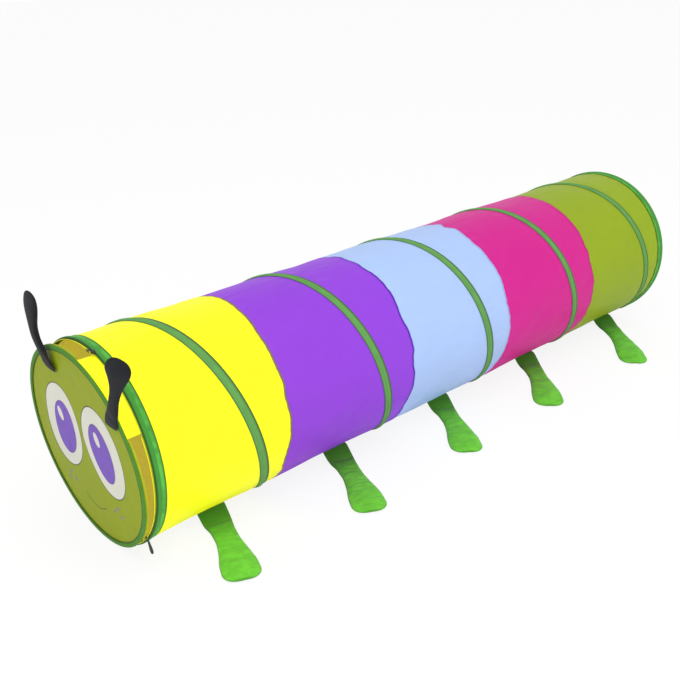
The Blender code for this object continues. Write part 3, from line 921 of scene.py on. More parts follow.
@dataclass(frozen=True)
class PanelCloth:
    """Thin coated nylon with a soft satin shine, seamed at its ends.

    Attributes:
        name: Name of the material.
        colour: Colour of the cloth.
        thread: Colour of the overlocked rear seam, at the attribute to_seam, if it has one.
        mottling: How uneven its shade is.
        painted_glow: Strength of the painted glow of its inner skin, which emits its own colour in place of
            the daylight that thin cloth passes on.
    """

    name: str
    colour: Shade
    thread: Shade | None = None
    mottling: float = 0.035
    painted_glow: float = 0.0

    def build(self, effects: SharedEffects) -> Material:
        """Build the material.

        Args:
            effects: The shared node groups.

        Returns:
            The material.
        """
        finish = Finish(self.name, effects)
        book = finish.book
        mottle = book.group(effects.mottle, Place=finish.place, Amount=self.mottling)
        weave = book.group(effects.weave, Place=finish.uv, Threads=1400.0)
        shade = book.times(mottle["Shade"], weave["Tint"])
        colour = book.shaded(self.colour.linear(), shade)
        if self.thread is not None:
            across = finish.attribute("to_seam")
            along, _, _ = book.parts(finish.uv)
            row = book.group(effects.stitching, Along=along, Across=across, Line=0.0035, Pitch=0.0032)
            deep = self.colour.linear(0.38)
            colour = book.mix(book.times(row["Mask"], 0.5), colour, deep)
            edge = book.less(book.band(across, 0.0038, 0.0066))
            loops = book.band(book.math("SINE", book.times(along, FULL_TURN / 0.0026)), -0.8, 0.8)
            edge = book.times(edge, book.math("MULTIPLY_ADD", loops, 0.20, 0.75))
            colour = book.mix(edge, colour, self.thread.linear())
            finish.bump(row["Height"], 0.5, 0.0004)
        finish.bump(mottle["Height"], 0.30, 0.010)
        finish.bump(weave["Height"], 0.10, 0.0002)
        roughness = book.math("MULTIPLY_ADD", mottle["Height"], 0.16, 0.42)
        finish.set(Base_Color=colour, Roughness=roughness)
        # Painted glow: a lining emits its own colour, as if daylight came through the cloth; other cloth
        # lets light through by subsurface scattering.
        if self.painted_glow > 0.0:
            finish.set(Emission_Color=colour, Emission_Strength=self.painted_glow)
        else:
            finish.thin_cloth()
        return finish.material


@dataclass(frozen=True)
class WovenTape:
    """Ribbed polyester tape with a row of stitches near each edge.

    Attributes:
        name: Name of the material.
        colour: Colour of the tape.
        width: Width of the tape's outer face, which starts at V 0.
        stitched: Whether it is sewn down along both edges.
        crown: How much lighter a painted highlight makes its middle.
        lit_share: How much of the width that painted highlight spans, from V 0.
    """

    name: str
    colour: Shade
    width: float
    stitched: bool = True
    crown: float = 0.15
    lit_share: float = 1.0

    def build(self, effects: SharedEffects) -> Material:
        """Build the material.

        Args:
            effects: The shared node groups.

        Returns:
            The material.
        """
        finish = Finish(self.name, effects)
        book = finish.book
        along, across, _ = book.parts(finish.uv)
        ribs = book.math("SINE", book.times(along, FULL_TURN / 0.0011))
        mottle = book.group(effects.mottle, Place=finish.place, Amount=0.06)
        weave = book.group(effects.weave, Place=finish.uv, Threads=1100.0)
        ribbed = book.math("MULTIPLY_ADD", ribs, 0.035, 0.98)
        shade = book.times(book.times(mottle["Shade"], weave["Tint"]), ribbed)
        colour = book.shaded(self.colour.linear(), shade)
        deep = self.colour.linear(0.30)
        from_edge = book.math("MINIMUM", across, book.math("SUBTRACT", self.width, across))
        # Painted highlight: a lighter copy of the colour, laid in patches over the middle of the lit part of
        # the width.
        light = self.colour.linear(1.8)
        lit = self.width * self.lit_share
        from_lit_edge = book.math("MINIMUM", across, book.math("SUBTRACT", lit, across))
        middle = book.band(from_lit_edge, lit * 0.10, lit * 0.40)
        patchy = book.band(book.noise(finish.place, 34.0, 3.0), 0.30, 0.66)
        colour = book.mix(book.times(book.times(middle, patchy), self.crown), colour, light)
        # Painted shade: the tape darkens towards both edges, where it curves down off its arch.
        edge = book.less(book.band(from_edge, 0.0004, 0.0028))
        colour = book.mix(book.times(edge, 0.85), colour, deep)
        if self.stitched:
            row = book.group(effects.stitching, Along=along, Across=from_edge, Line=0.0026, Pitch=0.0030)
            colour = book.mix(book.times(row["Mask"], 0.5), colour, deep)
            finish.bump(row["Height"], 0.6, 0.0004)
        finish.bump(ribs, 0.35, 0.0003)
        finish.set(Base_Color=colour, Roughness=0.62, Specular_IOR_Level=0.15, Sheen_Weight=0.04)
        return finish.material


@dataclass(frozen=True)
class PrintedFace:
    """Nylon printed with a plain bug's face, drawn in the face's own plane.

    U runs towards the camera's side and V upwards, both from the middle of the face.
    """

    name: str = "printed_face_cloth"
    eye_side: float = 0.083
    eye_up: float = 0.022
    eye_tilt: float = 0.20
    eye_half: tuple[float, float] = (0.075, 0.103)
    iris_half: tuple[float, float] = (0.043, 0.066)
    glint_half: tuple[float, float] = (0.010, 0.017)

    def build(self, effects: SharedEffects) -> Material:
        """Build the material.

        Args:
            effects: The shared node groups.

        Returns:
            The material.
        """
        finish = Finish(self.name, effects)
        book = finish.book
        mottle = book.group(effects.mottle, Place=finish.place, Amount=0.05)
        weave = book.group(effects.weave, Place=finish.uv, Threads=1400.0)
        colour: Value = Shade.OLIVE.linear()
        for side in (-1.0, 1.0):
            colour = self._eye(book, effects, finish.uv, colour, side)
        colour = self._smile(book, finish.uv, colour)
        for side, up in ((-0.100, -0.105), (-0.084, -0.118), (-0.110, -0.122),
                         (0.100, -0.105), (0.084, -0.118), (0.110, -0.122)):
            spot = book.group(
                effects.oval, Place=finish.uv, Side=side, Up=up, Half_Width=0.0042, Half_Height=0.0042,
            )
            colour = book.mix(book.times(spot["Inside"], 0.75), colour, Shade.IRIS.linear())
        shade = book.times(mottle["Shade"], weave["Tint"])
        colour = book.shaded(colour, shade)
        finish.bump(mottle["Height"], 0.25, 0.008)
        finish.bump(weave["Height"], 0.10, 0.0002)
        roughness = book.math("MULTIPLY_ADD", mottle["Height"], 0.16, 0.46)
        finish.set(Base_Color=colour, Roughness=roughness)
        finish.thin_cloth()
        return finish.material

    def _eye(
        self, book: NodeBook, effects: SharedEffects, place: Socket, colour: Value, side: float
    ) -> Socket:
        """Print one eye over a colour.

        Args:
            book: The material's nodes.
            effects: The shared node groups.
            place: The place on the face.
            colour: What is under the eye.
            side: -1 for the far eye and 1 for the near one.

        Returns:
            The colour with the eye on it.
        """
        middle, tilt = side * self.eye_side, side * self.eye_tilt
        white = book.group(
            effects.oval, Place=place, Side=middle, Up=self.eye_up, Tilt=tilt,
            Half_Width=self.eye_half[0], Half_Height=self.eye_half[1], Line=0.0013,
        )
        iris = book.group(
            effects.oval, Place=place, Side=middle - side * 0.006, Up=self.eye_up - 0.004, Tilt=tilt,
            Half_Width=self.iris_half[0], Half_Height=self.iris_half[1], Line=0.0012,
        )
        glint = book.group(
            effects.oval, Place=place, Side=middle - side * 0.006 - 0.010, Up=self.eye_up + 0.026,
            Tilt=0.3, Half_Width=self.glint_half[0], Half_Height=self.glint_half[1],
        )
        rim = Shade.IRIS.linear(0.5)
        colour = book.mix(white["Inside"], colour, Shade.EYE_WHITE.linear())
        streaks = book.noise(book.stretched(place, (160.0, 22.0, 1.0)), 1.0, 3.0)
        purple = book.mix(book.band(streaks, 0.45, 0.75), Shade.IRIS.linear(), rim)
        purple = book.mix(0.65, purple, Shade.IRIS.linear())
        colour = book.mix(iris["Inside"], colour, purple)
        colour = book.mix(book.times(iris["Outline"], 0.8), colour, rim)
        colour = book.mix(glint["Inside"], colour, Shade.EYE_WHITE.linear())
        return book.mix(book.times(white["Outline"], 0.85), colour, Shade.INK.linear())

    @staticmethod
    def _smile(book: NodeBook, place: Socket, colour: Value) -> Socket:
        """Draw a small smile over a colour.

        Args:
            book: The material's nodes.
            place: The place on the face.
            colour: What is under the smile.

        Returns:
            The colour with the smile on it.
        """
        across, up, _ = book.parts(place)
        bowed = book.times(book.math("POWER", across, 2.0), 9.0)
        off = book.math("ABSOLUTE", book.math("SUBTRACT", book.math("ADD", up, 0.150), bowed))
        line = book.less(book.band(off, 0.0006, 0.0018))
        short = book.less(book.band(book.math("ABSOLUTE", across), 0.040, 0.046))
        drawn = book.times(book.times(line, short), 0.8)
        return book.mix(drawn, colour, Shade.INK.linear())


@dataclass(frozen=True)
class BrushedCloth:
    """Soft brushed cloth over wadding.

    Attributes:
        name: Name of the material.
        colour: Colour of the nap.
        depth: How much darker painted shade makes the creases and the root.
        crease_depth_and_shade: How deep its creases are, and how much painted shade darkens them.
        sheen: How much the nap lightens where it is seen edge on.
    """

    name: str
    colour: Shade
    depth: float = 0.5
    crease_depth_and_shade: float = 0.12
    sheen: float = 0.10

    def build(self, effects: SharedEffects) -> Material:
        """Build the material.

        Args:
            effects: The shared node groups.

        Returns:
            The material.
        """
        finish = Finish(self.name, effects)
        book = finish.book
        nap = book.noise(finish.place, 900.0, 3.0)
        patches = book.noise(finish.place, 45.0, 3.0)
        deep = self.colour.linear(self.depth)
        patched = book.math("MULTIPLY_ADD", book.band(patches, 0.35, 0.65), 0.16, 0.84)
        colour = book.shaded(self.colour.linear(), patched)
        # Painted shade: the cloth darkens towards the root, where it runs under the tunnel or against the
        # face.
        root = finish.attribute("to_root")
        colour = book.mix(root, colour, deep)
        from_edge = finish.attribute("to_edge")
        along, _, _ = book.parts(finish.uv)
        row = book.group(effects.stitching, Along=along, Across=from_edge, Line=0.0034, Pitch=0.0030)
        colour = book.mix(book.times(row["Mask"], 0.35), colour, deep)
        hem = book.less(book.band(from_edge, 0.0008, 0.0036))
        colour = book.mix(book.times(hem, 0.75), colour, deep)
        # Painted shade: the slanting creases darken in colour as well as dent.
        slanted = book.noise(book.stretched(finish.uv, (24.0, 7.0, 1.0)), 1.0, 1.0)
        fold = book.math("ABSOLUTE", book.math("MULTIPLY_ADD", slanted, 2.0, -1.0))
        crease = book.less(book.band(fold, 0.0, 0.10))
        colour = book.mix(book.times(crease, self.crease_depth_and_shade), colour, deep)
        finish.bump(row["Height"], 0.5, 0.0005)
        finish.bump(book.times(crease, -1.0), min(1.0, self.crease_depth_and_shade * 3.0), 0.0030)
        finish.bump(patches, 0.25, 0.0020)
        finish.bump(nap, 0.35, 0.0005)
        finish.set(Base_Color=colour, Roughness=0.8, Specular_IOR_Level=0.22, Sheen_Weight=self.sheen)
        return finish.material


@dataclass(frozen=True)
class HardFinish:
    """Metal or moulded plastic with fine scuffs.

    Attributes:
        name: Name of the material.
        colour: Colour of the surface.
        worn: Colour where it is rubbed.
        metallic: 1 for bare metal and 0 for plastic or lacquer.
        roughness: Roughness where it is not rubbed.
        wear: How much of it is rubbed.
    """

    name: str
    colour: Shade
    worn: Shade
    metallic: float
    roughness: float
    wear: float = 0.4

    def build(self, effects: SharedEffects) -> Material:
        """Build the material.

        Args:
            effects: The shared node groups.

        Returns:
            The material.
        """
        finish = Finish(self.name, effects)
        book = finish.book
        scuffs = book.group(effects.scuffs, Place=finish.place, Amount=self.wear)
        tone = book.noise(finish.place, 140.0, 2.0)
        dark = self.colour.linear(0.8)
        colour = book.mix(tone, dark, self.colour.linear())
        colour = book.mix(scuffs["Mask"], colour, self.worn.linear())
        roughness = book.math("MULTIPLY_ADD", tone, 0.14, self.roughness - 0.07)
        finish.bump(scuffs["Height"], 0.12, 0.0001)
        finish.set(Base_Color=colour, Roughness=roughness, Metallic=self.metallic)
        return finish.material


@dataclass
class Workshop:
    """What every sub-assembly needs: the plan, the frame and the finishes made so far."""

    plan: TunnelPlan
    frame: dict
    effects: SharedEffects = field(default_factory=SharedEffects)
    materials: dict[str, Material] = field(default_factory=dict)

    def finish(self, finish: object) -> Material:
        """Return a finish's material, made once.

        Args:
            finish: The finish.

        Returns:
            Its material.
        """
        if finish.name not in self.materials:
            self.materials[finish.name] = finish.build(self.effects)
        return self.materials[finish.name]

    def dress(self, item: Item, finish: object) -> None:
        """Give a piece one finish all over."""
        item.data.materials.clear()
        item.data.materials.append(self.finish(finish))

    def line_with(
        self, item: Item, cloth: object, lining: object, outward: Callable[[Vector], Vector],
        limit: float = -0.5,
    ) -> None:
        """Give a sheet its cloth, and its lining on the faces that look the other way.

        Args:
            item: The sheet.
            cloth: Finish of its outer side.
            lining: Finish of its inner side.
            outward: Gives the outward direction at a point.
            limit: Cosine to that direction below which a face takes the lining.
        """
        self.dress(item, cloth)
        item.data.materials.append(self.finish(lining))
        for polygon in item.data.polygons:
            away = outward(polygon.center)
            if polygon.normal.dot(away) < limit * away.length:
                polygon.material_index = 1

    def joint(self, name: str) -> dict:
        """Return a joint of the frame by name."""
        return next(joint for joint in self.frame["joints"] if joint["name"] == name)

    def stand_in(self, item: Item, body: str, slot: str, *nodes: str) -> Item:
        """Let a piece ride on a body in place of solids, and report it.

        Args:
            item: The piece.
            body: The body that it rides on.
            slot: The record's slot that its finish belongs to; not used.
            *nodes: The solids that it stands for.

        Returns:
            The piece.
        """
        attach(item, body)
        if nodes:
            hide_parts(*nodes)
        LOG.info("%s: %d faces, rides on %s", item.name, len(item.data.polygons), body)
        return item

    def fold_flat(self, item: Item, anchor: float) -> None:
        """Give a soft piece its own copy of its mesh."""
        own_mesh(item)

    def fold_with_panel(self, item: Item, index: int) -> None:
        """Work out the front of the panel that a soft piece belongs to, and give the piece its own copy of
        its mesh.

        Args:
            item: The piece.
            index: Number of the panel, head to tail.
        """
        node = "panel_" + PANELS[index]
        front = self.plan.binding_width if index == 0 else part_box(node)[0].x - self.plan.front
        self.fold_flat(item, front)


@dataclass(frozen=True)
class PanelCut:
    """One panel of cloth.

    Attributes:
        colour: Name of its colour in the solids.
        shade: Its colour.
        thread: Colour of the thread of its rear seam.
        body: The body that it rides on.
        low: Where its front seam runs.
        high: Where its rear seam runs.
    """

    colour: str
    shade: Shade
    thread: Shade | None
    body: str
    low: float
    high: float


@dataclass
class ClothTube:
    """The five panels of cloth, sewn end to end with lapped seams that wander a little."""

    shop: Workshop
    rows_apart: float = 0.0052
    columns: int = 276
    lap: float = 0.007
    wander: float = 0.0065
    tuck: float = 0.0006
    pulls: tuple[tuple[int, float, float, float], ...] = (
        (2, 0.0, 0.17, 0.010), (2, -0.60, 0.33, 0.030), (3, 0.03, 0.08, 0.012),
    )
    seams: tuple[float, ...] = (0.0011, 0.3402, 0.7208, 1.0825, 1.4665, 1.8389)
    edges: tuple[float, ...] = field(init=False)

    def __post_init__(self) -> None:
        """Work out where the bindings let the cloth go."""
        plan = self.shop.plan
        self.edges = (plan.binding_width, plan.length - plan.binding_width)
        self._places = [plan.crossings(FULL_TURN * k / self.columns) for k in range(self.columns)]

    def cuts(self) -> list[PanelCut]:
        """Return the five panels, head to tail.

        Returns:
            The panels.
        """
        shades = (Shade.YELLOW, Shade.PURPLE, Shade.BLUE, Shade.PINK, Shade.LIME)
        threads = (Shade.PLUM_THREAD, Shade.VIOLET_THREAD, Shade.SLATE_THREAD, Shade.ROSE_THREAD, None)
        return [
            PanelCut(name, shade, threads[i], Body.HEAD.value if i == 0 else name + "_section",
                     self.seams[i], self.seams[i + 1])
            for i, (name, shade) in enumerate(zip(PANELS, shades))
        ]

    def seam_line(self, index: int, column: int) -> float:
        """Return where a seam runs at one column: it wanders with the cloth's fullness.

        Args:
            index: Number of the seam, mouth to tail.
            column: The column of points round the tunnel.

        Returns:
            The distance along the tunnel.
        """
        place = self.seams[index]
        if index in (0, len(self.seams) - 1):
            return place
        angle = FULL_TURN * column / self.columns
        around = Vector((math.cos(angle), math.sin(angle), 3.7 * index))
        wave = noise.noise(around * 2.3) + 0.5 * noise.noise(around * 5.1)
        wave += 0.22 * noise.noise(around * 17.0)
        signed = math.remainder(angle, FULL_TURN)
        pull = sum(
            depth * math.exp(-((signed - middle) / spread) ** 2)
            for seam, middle, spread, depth in self.pulls if seam == index
        )
        return place + self.wander * wave * 1.5 - pull

    def radius(self, distance: float, column: int, to_seam: float) -> float:
        """Return the cloth's radius with its folds and gathers.

        Args:
            distance: Distance along the tunnel.
            column: The column of points round the tunnel.
            to_seam: Distance to the nearest sewn seam.

        Returns:
            The radius.
        """
        plan = self.shop.plan
        places = self._places[column]
        angle = FULL_TURN * column / self.columns
        base = plan.waisted(places, distance)
        to_wire = min(abs(distance - place) for place in places)
        free = ease(to_wire, 0.014, 0.050)
        near_tape = ease(to_wire, 0.0125, 0.018) * (1.0 - ease(to_wire, 0.024, 0.075))
        near_seam = 1.0 - ease(to_seam, 0.004, 0.050)
        around = Vector((base * math.cos(angle), base * math.sin(angle), 0.0))
        gathers = noise.noise(around * 62.0 + Vector((0.0, 0.0, distance * 9.0)))
        puckers = noise.noise(around * 48.0 + Vector((0.0, 0.0, 7.0 + distance * 12.0)))
        folds = noise.noise(around * 7.5 + Vector((0.0, 0.0, 3.0 + distance * 5.0)))
        twist = angle * 0.9 + distance * 3.2
        slant = Vector((math.cos(twist), math.sin(twist), distance * 1.2))
        drags = noise.noise(slant * 4.2 + Vector((5.0, 2.0, 0.0)))
        depth = 0.0012 * near_tape * gathers + 0.0015 * near_seam * free * puckers
        depth += free * (0.0024 * folds + 0.0018 * drags)
        return min(base + depth, plan.cloth_radius + 0.0002 * (1.0 - free) + 0.0020 * free)

    def panel(self, index: int, cut: PanelCut, low: float, high: float, name: str) -> Item:
        """Make a stretch of one panel.

        Args:
            index: Number of the panel, head to tail.
            cut: The panel.
            low: Where the stretch starts, if its edge isn't a seam.
            high: Where it ends, if its edge isn't a seam.
            name: Name of the piece.

        Returns:
            The piece.
        """
        plan = self.shop.plan
        count = max(3, round((high - low) / self.rows_apart))
        sewn_front = index > 0 and low <= cut.low
        sewn_rear = index < 4 and high >= cut.high
        columns = []
        for column in range(self.columns):
            front_seam = self.seam_line(index, column)
            rear_seam = self.seam_line(index + 1, column)
            start = front_seam - self.lap if sewn_front else low
            end = rear_seam if sewn_rear else high
            angle = FULL_TURN * column / self.columns
            line = []
            for row in range(count + 1):
                distance = start + (end - start) * self._spread(row / count, sewn_front, sewn_rear)
                to_front = abs(distance - front_seam) if index > 0 else 1.0
                to_rear = abs(distance - rear_seam) if index < 4 else 1.0
                radius = self.radius(distance, column, min(to_front, to_rear))
                if sewn_front:
                    radius -= 0.0014 * (1.0 - ease(distance - front_seam, -0.0005, 0.0035))
                if sewn_rear:
                    radius += 0.0003 * ease(distance, rear_seam - 0.008, rear_seam - 0.002)
                line.append((plan.wrap(distance, radius, angle), to_rear if index < 4 else 1.0))
            columns.append(line)
        rows = [[columns[c][r][0] for c in range(self.columns)] for r in range(count + 1)]
        seam = [columns[c][r][1] for r in range(count + 1) for c in range(self.columns)]
        return self._sheet(name, rows, seam, plan)

    @staticmethod
    def _spread(share: float, front: bool, rear: bool) -> float:
        """Crowd the rows a little towards a sewn edge.

        Args:
            share: The even share of the way.
            front: Whether the front edge is sewn.
            rear: Whether the rear edge is sewn.

        Returns:
            The share with the rows crowded.
        """
        if front and rear:
            return 0.5 - 0.5 * math.cos(math.pi * share) * 0.35 - (0.5 - share) * 0.65
        if rear:
            return share + 0.10 * math.sin(math.pi * share) * share
        if front:
            return share - 0.10 * math.sin(math.pi * share) * (1.0 - share)
        return share

    def _sheet(
        self, name: str, rows: list[list[Vector]], seam: list[float], plan: TunnelPlan
    ) -> Item:
        """Make rows of points into a thin sheet that knows its distance to the seam.

        Args:
            name: Name of the piece.
            rows: The rows of points.
            seam: Each point's distance to the seam.
            plan: The tunnel's plan.

        Returns:
            The sheet.
        """
        run = [row[0].x - rows[0][0].x for row in rows]
        turn = [FULL_TURN * plan.cloth_radius * c / self.columns for c in range(self.columns + 1)]
        item = Modeller.rows(name, rows, run, [turn] * len(rows), outwards=plan.outward)
        for loop in item.data.uv_layers[0].data:
            loop.uv = (loop.uv[1], loop.uv[0])
        store = item.data.attributes.new("to_seam", "FLOAT", "POINT")
        store.data.foreach_set("value", seam)
        Modeller.thicken(item, 0.0008)
        return item

    def build(self) -> None:
        """Make the panels, each with a plain strip where a binding holds its edge."""
        plan = self.shop.plan
        strips = {
            0: (self.seams[0], self.edges[0], "mouth", Body.HEAD),
            len(PANELS) - 1: (self.edges[1], self.seams[-1], "tail", Body.TAIL),
        }
        for index, cut in enumerate(self.cuts()):
            node = "panel_" + cut.colour
            finish = PanelCloth(cut.colour + "_nylon", cut.shade, cut.thread)
            # Painted shade: the yellow panel's lining takes a darker, duller yellow; the other linings keep
            # their cloth's colour.
            inner = Shade.SHADED_YELLOW if cut.shade is Shade.YELLOW else cut.shade
            lining = PanelCloth(cut.colour + "_lining", inner, painted_glow=0.30)
            low, high = cut.low, cut.high
            if index in strips:
                start, end, name, body = strips[index]
                low = end - self.tuck if body is Body.HEAD else low
                high = start + self.tuck if body is Body.TAIL else high
                strip = self.panel(index, cut, start, end, node + "_edge")
                self.shop.line_with(strip, finish, lining, plan.outward)
                self.shop.stand_in(strip, body.value, cut.colour + "_cloth")
            item = self.panel(index, cut, low, high, node + "_cloth")
            self.shop.line_with(item, finish, lining, plan.outward)
            self.shop.stand_in(item, cut.body, cut.colour + "_cloth", node)
            self.shop.fold_with_panel(item, index)


@dataclass
class SpringWire:
    """The one sprung wire: a flat turn at each end and a spiral between them.

    Attributes:
        sides: Sides of its round section.
        fold_room: Stations that the spiral stops short of the tail's turn, to leave the fold room.
    """

    shop: Workshop
    sides: int = 8
    fold_room: float = 2.0
    finish: HardFinish = HardFinish("drawn_steel", Shade.STEEL, Shade.STEEL, 1.0, 0.32, 0.2)

    def stretch(self, name: str, first: float, last: float) -> Item:
        """Make the wire between two stations, as a round tube.

        Args:
            name: Name of the piece.
            first: Its first station.
            last: Its last station.

        Returns:
            The piece.
        """
        plan = self.shop.plan
        count = round((last - first) * 2)
        stations = [first + (last - first) * k / count for k in range(count + 1)]
        line = []
        for station in stations:
            angle = (station + 0.5) * plan.step
            line.append(plan.wrap(plan.wire_place(station), plan.ring_radius, angle))
        rows = []
        for index, (point, station) in enumerate(zip(line, stations)):
            ahead = line[min(index + 1, count)] - line[max(index - 1, 0)]
            angle = (station + 0.5) * plan.step
            outward = Vector((0.0, -math.sin(angle), math.cos(angle)))
            side = ahead.normalized().cross(outward).normalized()
            ring = []
            for k in range(self.sides):
                turn = FULL_TURN * k / self.sides
                ring.append(point + (side * math.cos(turn) + outward * math.sin(turn)) * plan.wire / 2.0)
            rows.append(ring)
        girth = [plan.wire * math.pi * k / self.sides for k in range(self.sides + 1)]
        return Modeller.rows(name, rows, running_lengths(line, False), [girth] * len(rows), capped=True)

    def build(self) -> None:
        """Make the wire in three stretches, which part only when the tunnel folds."""
        plan = self.shop.plan
        turn_end = plan.first_station + plan.sides
        tail_start = plan.last_station - plan.sides
        stretches = (
            ("mouth_wire_turn", plan.first_station, turn_end, Body.HEAD),
            ("spiral_wire", turn_end, tail_start - self.fold_room, Body.HEAD),
            ("tail_wire_turn", tail_start, plan.last_station, Body.TAIL),
        )
        for name, first, last, body in stretches:
            item = self.stretch(name, first, last)
            self.shop.dress(item, self.finish)
            self.shop.stand_in(item, body.value, "spring_steel", "spring_wire")
            if name == "spiral_wire":
                self.shop.fold_flat(item, plan.binding_width)


@dataclass
class SewnTapes:
    """The green tape over the spiral wire and the bindings round the mouth and the tail."""

    shop: Workshop
    turn_steps: int = 168

    def _edge_ripple(self, distance: float, angle: float) -> float:
        """Return how far a tape's edge lifts at a place."""
        point = Vector((math.cos(angle) * 9.0, math.sin(angle) * 9.0, distance * 30.0))
        return 0.0005 * max(0.0, noise.noise(point))

    def spiral(self) -> None:
        """Make the tape that arches over the spiral wire all the way."""
        plan = self.shop.plan
        front = plan.binding_width + plan.gap
        rear = plan.length - front
        foot = plan.wire / 2.0 + 0.0022
        half = plan.tape_width / 2.0
        offsets = (-1.0, -0.92, -0.70, -0.50, -0.36, -0.27, -0.20, -0.14, -0.09, 0.0,
                   0.09, 0.14, 0.20, 0.27, 0.36, 0.50, 0.70, 0.92, 1.0)
        rows, girth = [], []
        station = plan.first_station + plan.sides
        while station <= plan.last_station - plan.sides:
            middle = plan.wire_place(station)
            angle = (station + 0.5) * plan.step
            if middle - foot >= front and middle + foot <= rear:
                line = []
                for share in offsets:
                    place = min(max(middle + share * half, front), rear)
                    lift = plan.lift_over([middle], place)
                    if abs(share) > 0.8:
                        lift += self._edge_ripple(place, angle)
                    line.append((place, lift + plan.tape / 2.0))
                outline = strip_section(line, plan.tape)
                rows.append([plan.wrap(u, plan.cloth_radius + v, angle) for u, v in outline])
                girth.append(running_lengths(outline, True))
            station += plan.sides / self.turn_steps
        run = running_lengths([row[len(offsets) // 2] for row in rows], False)
        item = Modeller.rows("spiral_tape_band", rows, run, girth, capped=True)
        Modeller.smooth(item, 60.0)
        self.shop.dress(item, WovenTape("spiral_tape_weave", Shade.TAPE_GREEN, plan.tape_width))
        self.shop.stand_in(item, Body.HEAD.value, "green_tape", "spiral_tape")
        self.shop.fold_flat(item, plan.binding_width)

    def binding(self, end: str, body: Body) -> None:
        """Make the binding folded round one end of the tunnel.

        Args:
            end: mouth or tail.
            body: The body that it rides on.
        """
        plan = self.shop.plan
        at_tail = end == "tail"
        half = plan.tape / 2.0
        under = -plan.cloth - plan.gap - half
        crest = plan.crest_lift + half
        rows, girth = [], []
        for step in range(self.turn_steps):
            angle = FULL_TURN * step / self.turn_steps
            places = plan.crossings(angle)
            if at_tail:
                places = [plan.length - place for place in places]
            line, count = [], 16
            for k in range(count + 1):
                place = plan.binding_width - (plan.binding_width - 0.0032) * k / count
                lift = plan.crest_lift if place < 0.0052 else plan.lift_over(places, place)
                if k == 0:
                    lift += self._edge_ripple(3.0 if at_tail else 1.0, angle)
                line.append((place, lift + half))
            line += [(0.0018, crest - 0.0002), (0.0008, crest - 0.0009), (half, crest - 0.0021),
                     (half, under + 0.0015), (0.0008, under + 0.0005), (0.0018, under)]
            line += [(0.0018 + (plan.inner_width - 0.0018) * k / 5, under) for k in range(1, 6)]
            outline = list(reversed(strip_section(line, plan.tape)))
            if at_tail:
                outline = [(plan.length - u, v) for u, v in outline]
            rows.append([plan.wrap(u, plan.cloth_radius + v, angle) for u, v in outline])
            girth.append(running_lengths(outline, True))
        girth.append(girth[0])
        run = [FULL_TURN * plan.crest_radius * k / self.turn_steps for k in range(self.turn_steps + 1)]
        item = Modeller.rows(end + "_binding_fold", rows, run, girth, along=True)
        Modeller.smooth(item, 60.0)
        weave = WovenTape(
            "binding_weave", Shade.BINDING_GREEN, plan.binding_width, crown=0.9, lit_share=0.6,
        )
        self.shop.dress(item, weave)
        self.shop.stand_in(item, body.value, "green_tape", end + "_binding")

    def build(self) -> None:
        """Make the tape and both bindings."""
        self.spiral()
        self.binding("mouth", Body.HEAD)
        self.binding("tail", Body.TAIL)


